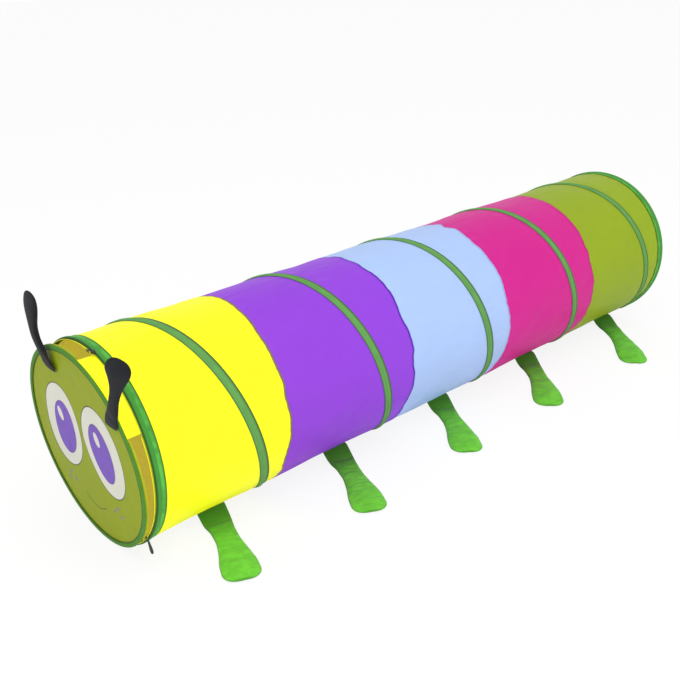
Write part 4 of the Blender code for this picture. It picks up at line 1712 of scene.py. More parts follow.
@dataclass
class FaceDoor:
    """The round face: printed cloth on a hoop, its binding, its half of the zip and its gusset."""

    shop: Workshop
    radius: float = 0.2280
    lean: float = math.radians(3.3)
    bottom_gap: float = 0.0120
    hoop_wire: float = 0.0020
    binding_depth: float = 0.0120
    zip_width: float = 0.0044
    zip_tape: float = 0.0006
    coil_width: float = 0.0015
    coil_height: float = 0.0012
    coil_pitch: float = 0.0015
    zip_from: float = math.radians(63.5)
    zip_to: float = math.radians(370.5)
    gusset_from: float = math.radians(12.0)
    gusset_to: float = math.radians(62.0)
    segments: int = 168
    face_finish: PrintedFace = PrintedFace()
    yellow_tape: WovenTape = WovenTape("yellow_zip_tape", Shade.ZIP_YELLOW, 0.0044, False)
    lime_tape: WovenTape = WovenTape("lime_zip_tape", Shade.ZIP_LIME, 0.0044, False)
    coil_yellow: HardFinish = HardFinish("yellow_coil", Shade.ZIP_YELLOW, Shade.ZIP_LIME, 0.0, 0.45, 0.2)
    coil_lime: HardFinish = HardFinish("lime_coil", Shade.ZIP_LIME, Shade.OLIVE, 0.0, 0.45, 0.2)

    @property
    def half(self) -> float:
        """Half the thickness of the bound rim."""
        plan = self.shop.plan
        return self.hoop_wire / 2.0 + plan.gap + plan.tape

    @property
    def frame(self) -> Matrix:
        """The face's own frame: X along its axis, towards the tunnel.

        Returns:
            The frame.
        """
        plan = self.shop.plan
        lean = self.radius * math.sin(self.lean) + self.half * math.cos(self.lean)
        centre = Vector((plan.front - self.bottom_gap - lean, 0.0, plan.axis_height))
        return Matrix.Translation(centre) @ Matrix.Rotation(-self.lean, 4, "Y")

    def on_face(self, depth: float, radius: float, angle: float) -> Vector:
        """Return a point in the face's frame, by its depth, radius and angle."""
        return self.frame @ Vector((depth, -radius * math.sin(angle), radius * math.cos(angle)))

    def cloth(self) -> None:
        """Make the printed cloth, a little slack in its hoop."""
        plan = self.shop.plan
        edge = self.radius - plan.tape - plan.gap - self.hoop_wire - plan.gap
        rings = 34
        rows, girth = [], []
        for ring in range(rings + 1):
            share = ring / rings
            radius = 0.0008 + (edge - 0.0008) * share
            row = []
            for segment in range(self.segments):
                angle = FULL_TURN * segment / self.segments
                point = Vector((math.cos(angle), math.sin(angle), 0.0)) * radius
                slack = (1.0 - share ** 2) * (0.0016 * noise.noise(point * 11.0) + 0.0010)
                pucker = 0.0010 * ease(share, 0.62, 0.86) * (1.0 - ease(share, 0.90, 0.96))
                pucker *= noise.noise(point * 46.0)
                row.append(self.on_face(plan.cloth / 2.0 - slack - pucker, radius, angle))
            rows.append(row)
            girth.append([0.0] * (self.segments + 1))
        front = self.frame.to_3x3() @ Vector((-1.0, 0.0, 0.0))
        item = Modeller.rows("face_cloth", rows, [0.0] * len(rows), girth, outwards=lambda point: front)
        self._close_middle(item)
        inverse = self.frame.inverted()
        layer = item.data.uv_layers[0]
        for loop in item.data.loops:
            local = inverse @ item.data.vertices[loop.vertex_index].co
            layer.data[loop.index].uv = (-local.y, local.z)
        Modeller.thicken(item, plan.cloth * 0.8)
        # Painted shade: the inner side of the face takes a darker olive, with a weak painted glow.
        lining = PanelCloth("olive_lining", Shade.SHADED_OLIVE, painted_glow=0.15)
        self.shop.line_with(item, self.face_finish, lining, lambda point: front, 0.0)
        self.shop.stand_in(item, Body.FACE.value, "olive_cloth", "face_panel")

    @staticmethod
    def _close_middle(item: Item) -> None:
        """Fill the small ring at the middle of the cloth.

        Args:
            item: The cloth.
        """
        builder = bmesh.new()
        builder.from_mesh(item.data)
        holes = [edge for edge in builder.edges if edge.is_boundary]
        centre = sum((edge.verts[0].co for edge in holes), Vector()) / len(holes)
        inner = [edge for edge in holes if (edge.verts[0].co - centre).length < 0.01]
        bmesh.ops.holes_fill(builder, edges=inner, sides=0)
        bmesh.ops.recalc_face_normals(builder, faces=builder.faces)
        builder.to_mesh(item.data)
        builder.free()

    def binding(self) -> None:
        """Make the rim's binding, folded over the hoop."""
        plan = self.shop.plan
        thick = plan.tape
        lip = plan.cloth / 2.0 + plan.gap + thick / 2.0
        bulge = self.half - thick / 2.0
        root = self.radius - self.binding_depth
        rim = self.radius - thick / 2.0
        hoop = rim - bulge
        side = [(lip, root), (lip, root + 0.003), (lip + 0.0002, root + 0.006),
                (bulge, hoop - 0.0016), (bulge, hoop)]
        crown = [(bulge * math.cos(a), hoop + bulge * math.sin(a))
                 for a in (math.pi * k / 8.0 for k in range(1, 8))]
        line = side + crown + [(-u, v) for u, v in reversed(side)]
        rows, girth = [], []
        for step in range(self.segments):
            angle = FULL_TURN * step / self.segments
            sway = noise.noise(Vector((math.cos(angle) * 14.0, math.sin(angle) * 14.0, 2.0)))
            shaped = [(u, v + 0.0004 * sway if k in (0, len(line) - 1) else v)
                      for k, (u, v) in enumerate(line)]
            outline = list(reversed(strip_section(shaped, thick)))
            rows.append([self.on_face(u, v, angle) for u, v in outline])
            girth.append(running_lengths(outline, True))
        wide = girth[0][len(line) - 1]
        girth.append(girth[0])
        run = [FULL_TURN * self.radius * k / self.segments for k in range(self.segments + 1)]
        item = Modeller.rows("face_binding_fold", rows, run, girth, along=True)
        Modeller.smooth(item, 60.0)
        self.shop.dress(item, WovenTape("rim_weave", Shade.RIM_GREEN, wide))
        self.shop.stand_in(item, Body.FACE.value, "dark_tape", "face_binding")

    def zip_half(self, prefix: str, body: Body, base: float, inner: float, direction: float) -> None:
        """Make one side of the zip: its tape and its row of coil turns.

        Args:
            prefix: mouth or face.
            body: The body that it rides on.
            base: Where the tape leaves its binding.
            inner: Radius of the tape's outer face.
            direction: -1 if the tape runs away from the tunnel, 1 if towards it.
        """
        plan = self.shop.plan
        at_mouth = prefix == "mouth"
        edge = base + direction * self.zip_width
        back = edge - direction * self.coil_width
        low = inner + plan.gap
        turn = self.zip_to - self.zip_from

        def band(_: int) -> list[tuple[float, float]]:
            """Return the tape's section, the same at every step."""
            under = inner - self.zip_tape
            return [(base, inner), (edge, inner), (edge, under), (base, under)]

        def teeth(step: int) -> list[tuple[float, float]]:
            """Return the coil's section: full at even steps, drawn in between two turns at odd ones.

            Args:
                step: Number of the step round the zip.

            Returns:
                Pairs of depth and radius.
            """
            full = step % 2 == 0
            high = low + self.coil_height * (1.0 if full else 0.72)
            tip = edge if full else edge - direction * 0.0004
            return [(back, low), (tip, low), (tip, (low + high) / 2.0),
                    (tip - direction * 0.0003, high), (back + direction * 0.0002, high)]

        turns = round(inner * turn / self.coil_pitch)
        tape = self.yellow_tape if at_mouth else self.lime_tape
        coil = self.coil_yellow if at_mouth else self.coil_lime
        slots = ("zip_yellow", "coil_yellow") if at_mouth else ("olive_cloth", "olive_coil")
        for name, node, section, count, crease, finish, slot in (
            ("_zip_band", "_zip_tape", band, 300, 40.0, tape, slots[0]),
            ("_zip_teeth", "_zip_coil", teeth, 2 * turns, 30.0, coil, slots[1]),
        ):
            rows = []
            for step in range(count + 1):
                angle = self.zip_from + turn * step / count
                rows.append([
                    plan.wrap(u, v, angle) if at_mouth else self.on_face(u, v, angle)
                    for u, v in section(step)
                ])
            girth = [running_lengths(section(count), True)] * len(rows)
            run = [inner * turn * step / count for step in range(count + 1)]
            item = Modeller.rows(prefix + name, rows, run, girth, capped=True)
            Modeller.smooth(item, crease)
            self.shop.dress(item, finish)
            self.shop.stand_in(item, body.value, slot, prefix + node)

    def gusset(self) -> None:
        """Make the sewn strip that the face hangs on, with a little slack in it."""
        plan = self.shop.plan
        zip_radius = plan.cloth_radius - plan.cloth
        behind_face = self.half + plan.gap
        across = 12
        rows = []
        count = 60
        for step in range(count + 1):
            angle = self.gusset_from + (self.gusset_to - self.gusset_from) * step / count
            fixed = plan.wrap(-plan.gap, zip_radius, angle)
            moving = self.on_face(behind_face, zip_radius, angle)
            row = []
            for k in range(across + 1):
                share = k / across
                point = fixed.lerp(moving, share)
                sag = 0.0016 * math.sin(math.pi * share)
                sag *= 1.0 + 0.8 * noise.noise(Vector((angle * 16.0, share * 1.5, 4.0)))
                outward = Vector((0.0, -math.sin(angle), math.cos(angle)))
                row.append(point - outward * (sag + 0.0004))
            rows.append(row)
        run = running_lengths([row[0] for row in rows], False)
        girth = [running_lengths(row, False) for row in rows]
        item = Modeller.rows("gusset_strip", rows, run, girth, around=False, outwards=plan.outward)
        Modeller.thicken(item, plan.tape, 0.0)
        self.shop.dress(item, PanelCloth("gusset_nylon", Shade.YELLOW))
        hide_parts("hinge_gusset")
        pivot = Vector(self.shop.joint("face_hinge")["pos_m"])
        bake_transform(item)
        LOG.info("%s: blends from head to face", item.name)

    def hoop(self) -> None:
        """Give the hidden hoop its steel."""
        node = self.shop.frame["nodes"]["face_hoop"]
        node.material_slots[0].material = self.shop.finish(SpringWire.finish)

    def build(self) -> None:
        """Make the whole door."""
        plan = self.shop.plan
        zip_radius = plan.cloth_radius - plan.cloth
        self.cloth()
        self.binding()
        self.zip_half("mouth", Body.HEAD, -plan.gap, zip_radius, -1.0)
        self.zip_half("face", Body.FACE, self.half + plan.gap, zip_radius - plan.gap, 1.0)
        self.gusset()
        self.hoop()


@dataclass
class ZipSliders:
    """The two sliders on the mouth's coil, and their pulls."""

    shop: Workshop
    door: FaceDoor
    length: float = 0.0100
    plate: float = 0.0009
    clearance: float = 0.0005
    grip: float = 0.0032
    web: float = 0.0010
    lug_width: float = 0.0022
    lug_length: float = 0.0040
    lug_height: float = 0.0024
    top_angle: float = math.radians(8.0)
    bottom_angle: float = math.radians(130.0)
    cord: float = 0.0022
    cord_length: float = 0.0130
    cord_lift: float = math.radians(11.0)
    ball: float = 0.0095
    tab_length: float = 0.0300
    tab_width: float = 0.0066
    tab_thickness: float = 0.0020
    tab_tilt: float = math.radians(25.0)
    lacquer: HardFinish = HardFinish("olive_lacquer", Shade.LACQUER, Shade.STEEL, 0.35, 0.34, 0.5)
    moulded: HardFinish = HardFinish("black_moulding", Shade.SOFT_BLACK, Shade.STEEL, 0.0, 0.42, 0.15)

    def section(self) -> tuple[float, float, float, float]:
        """Return the clamp's nose, mouth, outer face and inner face.

        Returns:
            The four places.
        """
        plan = self.shop.plan
        zip_radius = plan.cloth_radius - plan.cloth
        edge = -plan.gap - self.door.zip_width
        nose = edge - self.clearance - self.web
        top = zip_radius + plan.gap + self.door.coil_height + self.clearance
        low = zip_radius - self.door.zip_tape - self.clearance
        return nose, edge + self.grip, top, low

    def slider(self, name: str, body: str, angle: float) -> Matrix:
        """Make one slider: two plates on a web, with a bridge for its pull.

        Args:
            name: Name of its solid.
            body: The body that it rides on.
            angle: Where it stands round the mouth.

        Returns:
            The frame of the pull's eye, with Z outwards.
        """
        plan = self.shop.plan
        nose, mouth, top, low = self.section()
        middle = (nose + mouth) / 2.0
        wide = mouth - nose
        half = self.plate / 2.0
        plates = [
            Modeller.block((wide, self.length, self.plate), (middle, 0.0, height), 0.0004, 3)
            for height in (top + half, low - half)
        ]
        web = Modeller.block(
            (self.web, self.length * 0.72, top - low + self.plate),
            (nose + self.web / 2.0, 0.0, (top + low) / 2.0), 0.0003, 2,
        )
        for plate in plates:
            self._taper(plate, nose)
        bridge = self._bridge(middle, top + self.plate)
        item = Modeller.join(name + "_casting", [*plates, web, bridge])
        turn = Matrix.Translation((plan.front, 0.0, plan.axis_height)) @ Matrix.Rotation(angle, 4, "X")
        Modeller.settle(item, turn)
        Modeller.smooth(item, 40.0)
        self.shop.dress(item, self.lacquer)
        self.shop.stand_in(item, body, "slider_metal", name)
        eye = Vector((middle, 0.0, top + self.plate + self.lug_height / 2.0))
        return turn @ Matrix.Translation(eye)

    def _taper(self, plate: Item, nose: float) -> None:
        """Narrow a plate towards its leading end and round off its shoulders.

        Args:
            plate: The plate.
            nose: Where the slider's nose is.
        """
        Modeller.choose(plate)
        for vertex in plate.data.vertices:
            share = ease(vertex.co.y / self.length, 0.05, 0.5)
            vertex.co.x = nose + (vertex.co.x - nose) * (1.0 - 0.22 * share)

    def _bridge(self, middle: float, base: float) -> Item:
        """Make the small arch that holds the pull.

        Args:
            middle: Middle of the slider.
            base: Height of the upper plate's outer face.

        Returns:
            The arch.
        """
        Modeller.deselect()
        rail = self.lug_width / 2.0
        radius = self.lug_length / 2.0 - rail / 2.0
        bpy.ops.mesh.primitive_circle_add(
            vertices=12, radius=rail / 2.0, fill_type="NGON", location=(middle, -radius, base - 0.0002),
        )
        item = bpy.context.object
        bpy.ops.object.transform_apply(location=True, rotation=True, scale=True)
        bpy.ops.object.mode_set(mode="EDIT")
        bpy.ops.mesh.select_all(action="SELECT")
        bpy.ops.mesh.spin(
            steps=14, angle=math.pi, center=(middle, 0.0, base - 0.0002), axis=(-1.0, 0.0, 0.0),
        )
        bpy.ops.mesh.select_all(action="SELECT")
        bpy.ops.mesh.remove_doubles(threshold=0.00001)
        bpy.ops.mesh.normals_make_consistent(inside=False)
        bpy.ops.object.mode_set(mode="OBJECT")
        limit = self.lug_height / max(v.co.z - base for v in item.data.vertices)
        for vertex in item.data.vertices:
            if vertex.co.z > base:
                vertex.co.z = base + (vertex.co.z - base) * min(1.0, limit)
        return item

    def cord_pull(self, eye: Matrix) -> None:
        """Make the looped cord with its ball, lying along the rim.

        Args:
            eye: The frame of the pull's eye.
        """
        reach = math.hypot(self.lug_length / 2.0, self.lug_height / 2.0)
        start = reach + self.shop.plan.gap
        cord = self.cord / 2.0
        ball = self.ball / 2.0
        drop = math.sqrt(ball ** 2 - cord ** 2)
        profile = [(start, 0.0), (start, cord * 0.8), (start + 0.0006, cord)]
        strands = 22
        for k in range(1, strands):
            twist = 1.0 + 0.10 * math.cos(math.pi * k)
            profile.append((start + 0.0006 + (self.cord_length - 0.0006) * k / strands, cord * twist * 0.93))
        centre = start + self.cord_length + drop
        first = math.atan2(cord, -drop)
        for k in range(15):
            turn = first * (1.0 - k / 14.0)
            profile.append((centre + ball * math.cos(turn), ball * math.sin(turn)))
        item = self._turned("cord_pull_moulding", profile, 24)
        frame = eye @ Matrix.Rotation(math.pi - self.cord_lift, 4, "X")
        Modeller.settle(item, frame)
        Modeller.smooth(item, 50.0)
        self.shop.dress(item, self.moulded)
        self.shop.stand_in(item, "cord_pull", "black_plastic", "cord_pull")

    @staticmethod
    def _turned(name: str, profile: Sequence[tuple[float, float]], steps: int) -> Item:
        """Spin a profile of (place, radius) points about the Y axis into a closed form.

        Args:
            name: Name of the form.
            profile: The points.
            steps: Steps round the axis.

        Returns:
            The form.
        """
        Modeller.deselect()
        bpy.ops.mesh.primitive_plane_add(size=0.001)
        item = bpy.context.object
        item.name = name
        bpy.ops.object.mode_set(mode="EDIT")
        bpy.ops.mesh.select_all(action="SELECT")
        bpy.ops.mesh.delete(type="VERT")
        builder = bmesh.from_edit_mesh(item.data)
        points = [builder.verts.new((radius, place, 0.0)) for place, radius in profile]
        for one, other in zip(points, points[1:]):
            builder.edges.new((one, other))
        bmesh.update_edit_mesh(item.data)
        bpy.ops.mesh.select_all(action="SELECT")
        bpy.ops.mesh.spin(steps=steps, angle=FULL_TURN, center=(0.0, 0.0, 0.0), axis=(0.0, 1.0, 0.0))
        bpy.ops.mesh.select_all(action="SELECT")
        bpy.ops.mesh.remove_doubles(threshold=0.00002)
        bpy.ops.mesh.normals_make_consistent(inside=False)
        bpy.ops.object.mode_set(mode="OBJECT")
        return item

    def tab_pull(self, eye: Matrix) -> None:
        """Make the moulded tab, waisted below its eye, tilted out from the tunnel.

        Args:
            eye: The frame of the pull's eye.
        """
        reach = math.hypot(self.lug_length / 2.0, self.lug_height / 2.0)
        start = reach + self.shop.plan.gap
        middle = start + self.tab_length / 2.0
        item = Modeller.block(
            (self.tab_width, self.tab_thickness, self.tab_length), (0.0, 0.0, -middle), 0.0005, 3,
        )
        Modeller.choose(item)
        bpy.ops.object.mode_set(mode="EDIT")
        for k in range(1, 12):
            bpy.ops.mesh.select_all(action="SELECT")
            bpy.ops.mesh.bisect(
                plane_co=(0.0, 0.0, -start - self.tab_length * k / 12.0), plane_no=(0.0, 0.0, 1.0),
            )
        bpy.ops.object.mode_set(mode="OBJECT")
        shares = ((0.0, 0.50, 0.75), (0.15, 0.66, 0.85), (0.35, 0.80, 0.80), (0.55, 0.95, 1.0),
                  (0.80, 1.0, 1.0), (0.93, 0.82, 0.9), (1.0, 0.46, 0.7))
        for vertex in item.data.vertices:
            share = min(1.0, max(0.0, (-vertex.co.z - start) / self.tab_length))
            vertex.co.x *= between(shares, share, 1)
            vertex.co.y *= between(shares, share, 2)
        tilt = Matrix.Rotation(-self.tab_tilt, 4, "X")
        Modeller.settle(item, Matrix.Translation(eye.translation) @ tilt)
        item.name = "tab_pull_moulding"
        Modeller.smooth(item, 40.0)
        self.shop.dress(item, self.moulded)
        self.shop.stand_in(item, "tab_pull", "black_plastic", "tab_pull")

    def build(self) -> None:
        """Make both sliders and both pulls."""
        self.cord_pull(self.slider("top_slider", "top_slider", self.top_angle))
        self.tab_pull(self.slider("bottom_slider", "bottom_slider", self.bottom_angle))


@dataclass
class PadShape:
    """A sewn pad as two skins over one outline, before it is stuffed.

    Attributes:
        name: Name of the piece.
        point: Gives the point at a place along, a share across and a side of the pad.
        half_width: Gives half the width at a place along.
        length: Length from root to tip.
        across: Points from edge to edge.
        along: Points from root to tip.
        bound: Puts a point back where the pad may not reach.
        frames: Frames of the stuffing's simulation.
    """

    name: str
    point: Callable[[float, float, float], Vector]
    half_width: Callable[[float], float]
    length: float
    bound: Callable[[Vector], Vector]
    across: int = 15
    along: int = 52
    frames: int = 18

    def place(self, index: int) -> float:
        """Return how far along a row of points lies: the rows crowd towards the round tip.

        Args:
            index: Number of the row.

        Returns:
            Share of the way from root to tip.
        """
        share = index / self.along
        if share < 0.7:
            return share * 0.82 / 0.7
        return 0.82 + 0.18 * math.sin(math.pi / 2.0 * (share - 0.7) / 0.3)

    def skins(self) -> Item:
        """Make the closed mesh of both skins, sewn together along the outline.

        Returns:
            The skins.
        """
        rows, girth = [], []
        for i in range(self.along + 1):
            place = self.place(i)
            top = [self.point(place, -1.0 + 2.0 * j / self.across, 1.0) for j in range(self.across + 1)]
            low = [self.point(place, 1.0 - 2.0 * j / self.across, -1.0) for j in range(1, self.across)]
            rows.append(top + low)
            girth.append(running_lengths(top + low, True))
        run = [self.length * self.place(i) for i in range(self.along + 1)]
        return Modeller.rows(self.name, rows, run, girth, capped=True)

    def store_edges(self, item: Item) -> None:
        """Store each point's distance to the sewn edge and how near it is to the root.

        Args:
            item: The skins.
        """
        ring = 2 * self.across
        edge, root = [], []
        for index in range(len(item.data.vertices)):
            i, j = divmod(index, ring)
            place = self.place(i)
            share = abs(-1.0 + 2.0 * (j if j <= self.across else ring - j) / self.across)
            half = self.half_width(place)
            edge.append(min(half * (1.0 - share), self.length * (1.0 - place)))
            root.append(1.0 - ease(place, 0.02, 0.56))
        for name, values in (("to_edge", edge), ("to_root", root)):
            store = item.data.attributes.new(name, "FLOAT", "POINT")
            store.data.foreach_set("value", values)

    def stuff(self, item: Item, pressure: float, cap: float) -> None:
        """Swell the skins by a short cloth simulation, held at the root.

        Args:
            item: The skins.
            pressure: Pressure of the stuffing.
            cap: How far a point may move.
        """
        ring = 2 * self.across
        rest = [vertex.co.copy() for vertex in item.data.vertices]
        held = item.vertex_groups.new(name="held")
        for index in range(len(rest)):
            place = self.place(index // ring)
            held.add([index], 1.0 - ease(place, 0.06, 0.22), "REPLACE")
        modifier = item.modifiers.new("stuffing", "CLOTH")
        settings = modifier.settings
        settings.quality = 5
        settings.mass = 0.15
        settings.tension_stiffness = 18.0
        settings.compression_stiffness = 6.0
        settings.bending_stiffness = 0.08
        settings.use_pressure = True
        settings.uniform_pressure_force = pressure
        settings.vertex_group_mass = "held"
        settings.effector_weights.gravity = 0.0
        modifier.collision_settings.use_collision = False
        modifier.point_cache.frame_start = 1
        modifier.point_cache.frame_end = self.frames
        scene = bpy.context.scene
        for frame in range(1, self.frames + 1):
            scene.frame_set(frame)
        graph = bpy.context.evaluated_depsgraph_get()
        swollen = [vertex.co.copy() for vertex in item.evaluated_get(graph).data.vertices]
        item.modifiers.clear()
        item.vertex_groups.clear()
        scene.frame_set(1)
        for vertex, start, end in zip(item.data.vertices, rest, swollen):
            move = end - start
            if move.length > cap:
                move *= cap / move.length
            vertex.co = start + move
        for vertex in item.data.vertices:
            vertex.co = self.bound(vertex.co)

    def finish(self, pressure: float, cap: float) -> Item:
        """Make the pad: skins, stuffing and one smooth subdivision.

        Args:
            pressure: Pressure of the stuffing.
            cap: How far a point may move.

        Returns:
            The pad.
        """
        item = self.skins()
        self.store_edges(item)
        self.stuff(item, pressure, cap)
        rounder = item.modifiers.new("smooth", "SUBSURF")
        rounder.levels = 1
        rounder.render_levels = 1
        Modeller.apply_modifiers(item)
        for vertex in item.data.vertices:
            vertex.co = self.bound(vertex.co)
        Modeller.smooth(item, 70.0)
        return item


@dataclass
class PaddedLegs:
    """The ten legs, sewn under the panels and lying on the floor."""

    shop: Workshop
    root_width: float = 0.0730
    root_thickness: float = 0.0030
    foot_thickness: float = 0.0140
    leans: tuple[float, ...] = (0.082, 0.106, 0.134, 0.182, 0.196)
    reaches: tuple[float, ...] = (0.243, 0.253, 0.238, 0.236, 0.255)
    lean_power: float = 1.3
    drop_share: float = 0.20
    sections: tuple[tuple[float, float, float], ...] = (
        (0.00, 1.00, 0.00), (0.10, 0.96, 0.20), (0.28, 0.88, 0.55), (0.45, 0.87, 0.60),
        (0.62, 1.02, 0.85), (0.78, 1.19, 1.00), (0.90, 1.20, 0.90), (1.00, 1.10, 0.60),
    )
    creases: tuple[tuple[float, float], ...] = ((0.34, 0.7), (0.43, 1.0), (0.53, 0.8), (0.66, 0.5))
    nap: BrushedCloth = BrushedCloth("leg_fleece", Shade.LEG_GREEN, 0.38)

    def underside(self, point: Vector) -> float:
        """Return the height of the cloth above a point of the floor.

        Args:
            point: The point.

        Returns:
            The height.
        """
        plan = self.shop.plan
        across = min(abs(point.y), plan.cloth_radius * 0.999)
        return plan.axis_height - math.sqrt(plan.cloth_radius ** 2 - across ** 2)

    def leg(self, side: str, number: int) -> None:
        """Make one leg.

        Args:
            side: left for the camera's side, right for the far side.
            number: 1 to 5, head to tail.
        """
        name = f"leg_{side}_{number}"
        root = Vector(self.shop.joint(name + "_lift")["pos_m"])
        sign = -1.0 if side == "left" else 1.0
        lean, reach = self.leans[number - 1], self.reaches[number - 1]
        half = self.root_width / 2.0
        seed = number * 3.1 + (0.0 if side == "left" else 17.0)

        def width(place: float) -> float:
            """Return the half width at a place along the leg."""
            return half * between(self.sections, place, 1) * blunt_end(place, 0.88)

        def point(place: float, across: float, skin: float) -> Vector:
            """Return a point of one of the two skins.

            Args:
                place: Share of the way from root to tip.
                across: Share of the half width.
                skin: 1 for one skin, -1 for the other.

            Returns:
                The point.
            """
            slope = lean * self.lean_power * place ** (self.lean_power - 1.0)
            heading = math.atan2(slope, reach)
            offset = across * (width(place) + 0.0004)
            crease = noise.noise(Vector((place * 15.0, across * 1.2, seed)))
            deep = self.root_thickness
            deep += (self.foot_thickness - self.root_thickness) * between(self.sections, place, 2)
            crown = max(0.0, 1.0 - across ** 2) ** 0.5 * blunt_end(place, 0.88)
            deep *= 0.96 + 0.16 * crease * ease(place, 0.2, 0.5)
            slant = place - 0.030 * across + 0.012 * noise.noise(Vector((across * 2.2, seed, place * 3.0)))
            for line, share in self.creases:
                off = (slant - line - 0.02 * math.sin(seed * 2.0 + line * 40.0)) / 0.014
                deep -= 0.0034 * share * math.exp(-off * off) * crown
            drop = max(0.0, 1.0 - place / self.drop_share)
            floor = max(0.0, root.z - self.root_thickness - 0.0016) * drop * (0.4 + 0.6 * drop)
            edge = 0.32 * deep
            height = floor + edge + (deep - edge) * crown if skin > 0.0 else floor + edge * (1.0 - crown)
            return Vector((
                root.x - lean * place ** self.lean_power + offset * math.cos(heading),
                root.y + sign * (reach * place + offset * math.sin(heading)),
                height,
            ))

        def bound(place: Vector) -> Vector:
            """Keep a point above the floor and under the cloth.

            Args:
                place: The point.

            Returns:
                The point where it may be.
            """
            ceiling = self.underside(place) - 0.0006
            return Vector((place.x, place.y, max(0.0, min(place.z, ceiling))))

        pad = PadShape(name + "_pad", point, width, math.hypot(reach, lean), bound)
        item = pad.finish(pressure=2.2, cap=0.0035)
        self.shop.dress(item, self.nap)
        self.shop.stand_in(item, name, "leg_cloth", name)
        self.shop.fold_with_panel(item, number - 1)

    def build(self) -> None:
        """Make all ten legs."""
        for side in ("left", "right"):
            for number in range(1, 6):
                self.leg(side, number)


@dataclass(frozen=True)
class AntennaSeat:
    """Where one antenna is sewn to the face and how it stands.

    Attributes:
        name: Name of its solid and its body.
        side: Place across the face, as a share of its radius, towards +Y.
        up: Place up the face, as a share of its radius.
        lean: Lean to the side.
        nod: Lean forwards.
        bow: How far its top bows back, as a share of its length.
        twist: How far its top turns about its own length.
        slope: How far its rows slope across it.
    """

    name: str
    side: float
    up: float
    lean: float
    nod: float
    bow: float
    twist: float
    slope: float


@dataclass
class Antennae:
    """The two padded antennae.

    Attributes:
        rim_share: Share of the length that lies in front of the face.
        tip_from: Place from which the tip is round.
        press_axis: Way in which the near one would give when the open face presses it on the tunnel; not
            used.
        press_keep: Share of its depth in that way that would be left when the face is fully open; not used.
    """

    shop: Workshop
    door: FaceDoor
    length: float = 0.185
    width: float = 0.064
    thickness: float = 0.0100
    rim_share: float = 0.38
    tip_from: float = 0.85
    press_axis: tuple[float, float, float] = (-0.960, 0.0, -0.280)
    press_keep: float = 0.30
    seats: tuple[AntennaSeat, ...] = (
        AntennaSeat(
            "antenna_left", side=-0.668, up=0.504, lean=math.radians(-28.0), nod=0.0,
            bow=0.068, twist=math.radians(24.0), slope=math.radians(-6.0),
        ),
        AntennaSeat(
            "antenna_right", side=0.333, up=0.689, lean=math.radians(-2.0), nod=math.radians(10.0),
            bow=0.12, twist=0.0, slope=math.radians(13.0),
        ),
    )
    sections: tuple[tuple[float, float, float], ...] = (
        (0.00, 0.76, 0.40), (0.12, 0.68, 0.55), (0.34, 0.56, 0.65), (0.51, 0.54, 0.75),
        (0.60, 0.62, 0.85), (0.70, 0.79, 0.95), (0.83, 1.02, 1.00), (1.00, 1.02, 0.60),
    )
    nap: BrushedCloth = BrushedCloth("antenna_fleece", Shade.SOFT_BLACK, 0.45, 0.0, 0.05)

    def antenna(self, seat: AntennaSeat) -> None:
        """Make one antenna.

        Args:
            seat: Where it is sewn and how it stands.
        """
        plan = self.shop.plan
        door = self.door
        cloth_front = -plan.cloth / 2.0 - plan.gap
        rim_front = -door.half - plan.gap
        base = door.frame @ Vector((cloth_front, seat.side * door.radius, seat.up * door.radius))
        turn = Matrix.Rotation(-door.lean, 4, "Y")
        frame = Matrix.Translation(base) @ turn

        def rounding(place: float) -> float:
            """Return how full the antenna is at a place, which drops to 0 round its tip."""
            tip = max(0.0, (place - self.tip_from) / (1.0 - self.tip_from))
            return math.sqrt(max(0.0, 1.0 - tip ** 2))

        def width(place: float) -> float:
            """Return the half width at a place along the antenna."""
            return self.width / 2.0 * between(self.sections, place, 1) * rounding(place)

        def point(place: float, across: float, skin: float) -> Vector:
            """Return a point of one of the two skins.

            Args:
                place: Share of the way from root to tip.
                across: Share of the half width.
                skin: 1 for one skin, -1 for the other.

            Returns:
                The point.
            """
            along = self.length * place
            deep = self.thickness / 2.0 * between(self.sections, place, 2)
            crown = (max(0.0, 1.0 - across ** 2) ** 0.55) * rounding(place)
            back = (rim_front - cloth_front) * ease(place, 0.0, 0.10)
            back += self.length * seat.bow * ease(place, self.rim_share, 1.0)
            spin = Matrix.Rotation(seat.twist * place, 3, "Z")
            upright = ease(place, 0.0, 0.30) * seat.slope
            reach = across * (width(place) + 0.0003)
            aside, below = reach * math.cos(upright), reach * math.sin(upright)
            flat = spin @ Vector((-skin * deep * crown, aside, -below))
            back -= along * math.tan(seat.nod)
            straightened = self.length * (1.10 * place - 0.12 * place ** 4)
            centre = Vector((back - deep, straightened * math.tan(seat.lean), along))
            turned = abs(math.sin(seat.twist * place)) * self.width / 2.0
            centre.x -= turned * between(self.sections, place, 1)
            return frame @ (centre + flat)

        inverse = frame.inverted()

        def bound(place: Vector) -> Vector:
            """Keep a point in front of the face as far as its rim.

            Args:
                place: The point.

            Returns:
                The point where it may be.
            """
            local = inverse @ place
            if local.z < self.rim_share * self.length:
                limit = (rim_front - cloth_front) * ease(local.z / self.length, 0.0, 0.10)
                local.x = min(local.x, limit)
            return frame @ local

        pad = PadShape(seat.name + "_pad", point, width, self.length, bound, across=13, along=40)
        item = pad.finish(pressure=2.0, cap=0.0022)
        self.shop.dress(item, self.nap)
        self.shop.stand_in(item, seat.name, "black_cloth", seat.name)
        if seat.side < 0.0:
            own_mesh(item)

    def build(self) -> None:
        """Make both antennae."""
        for seat in self.seats:
            self.antenna(seat)


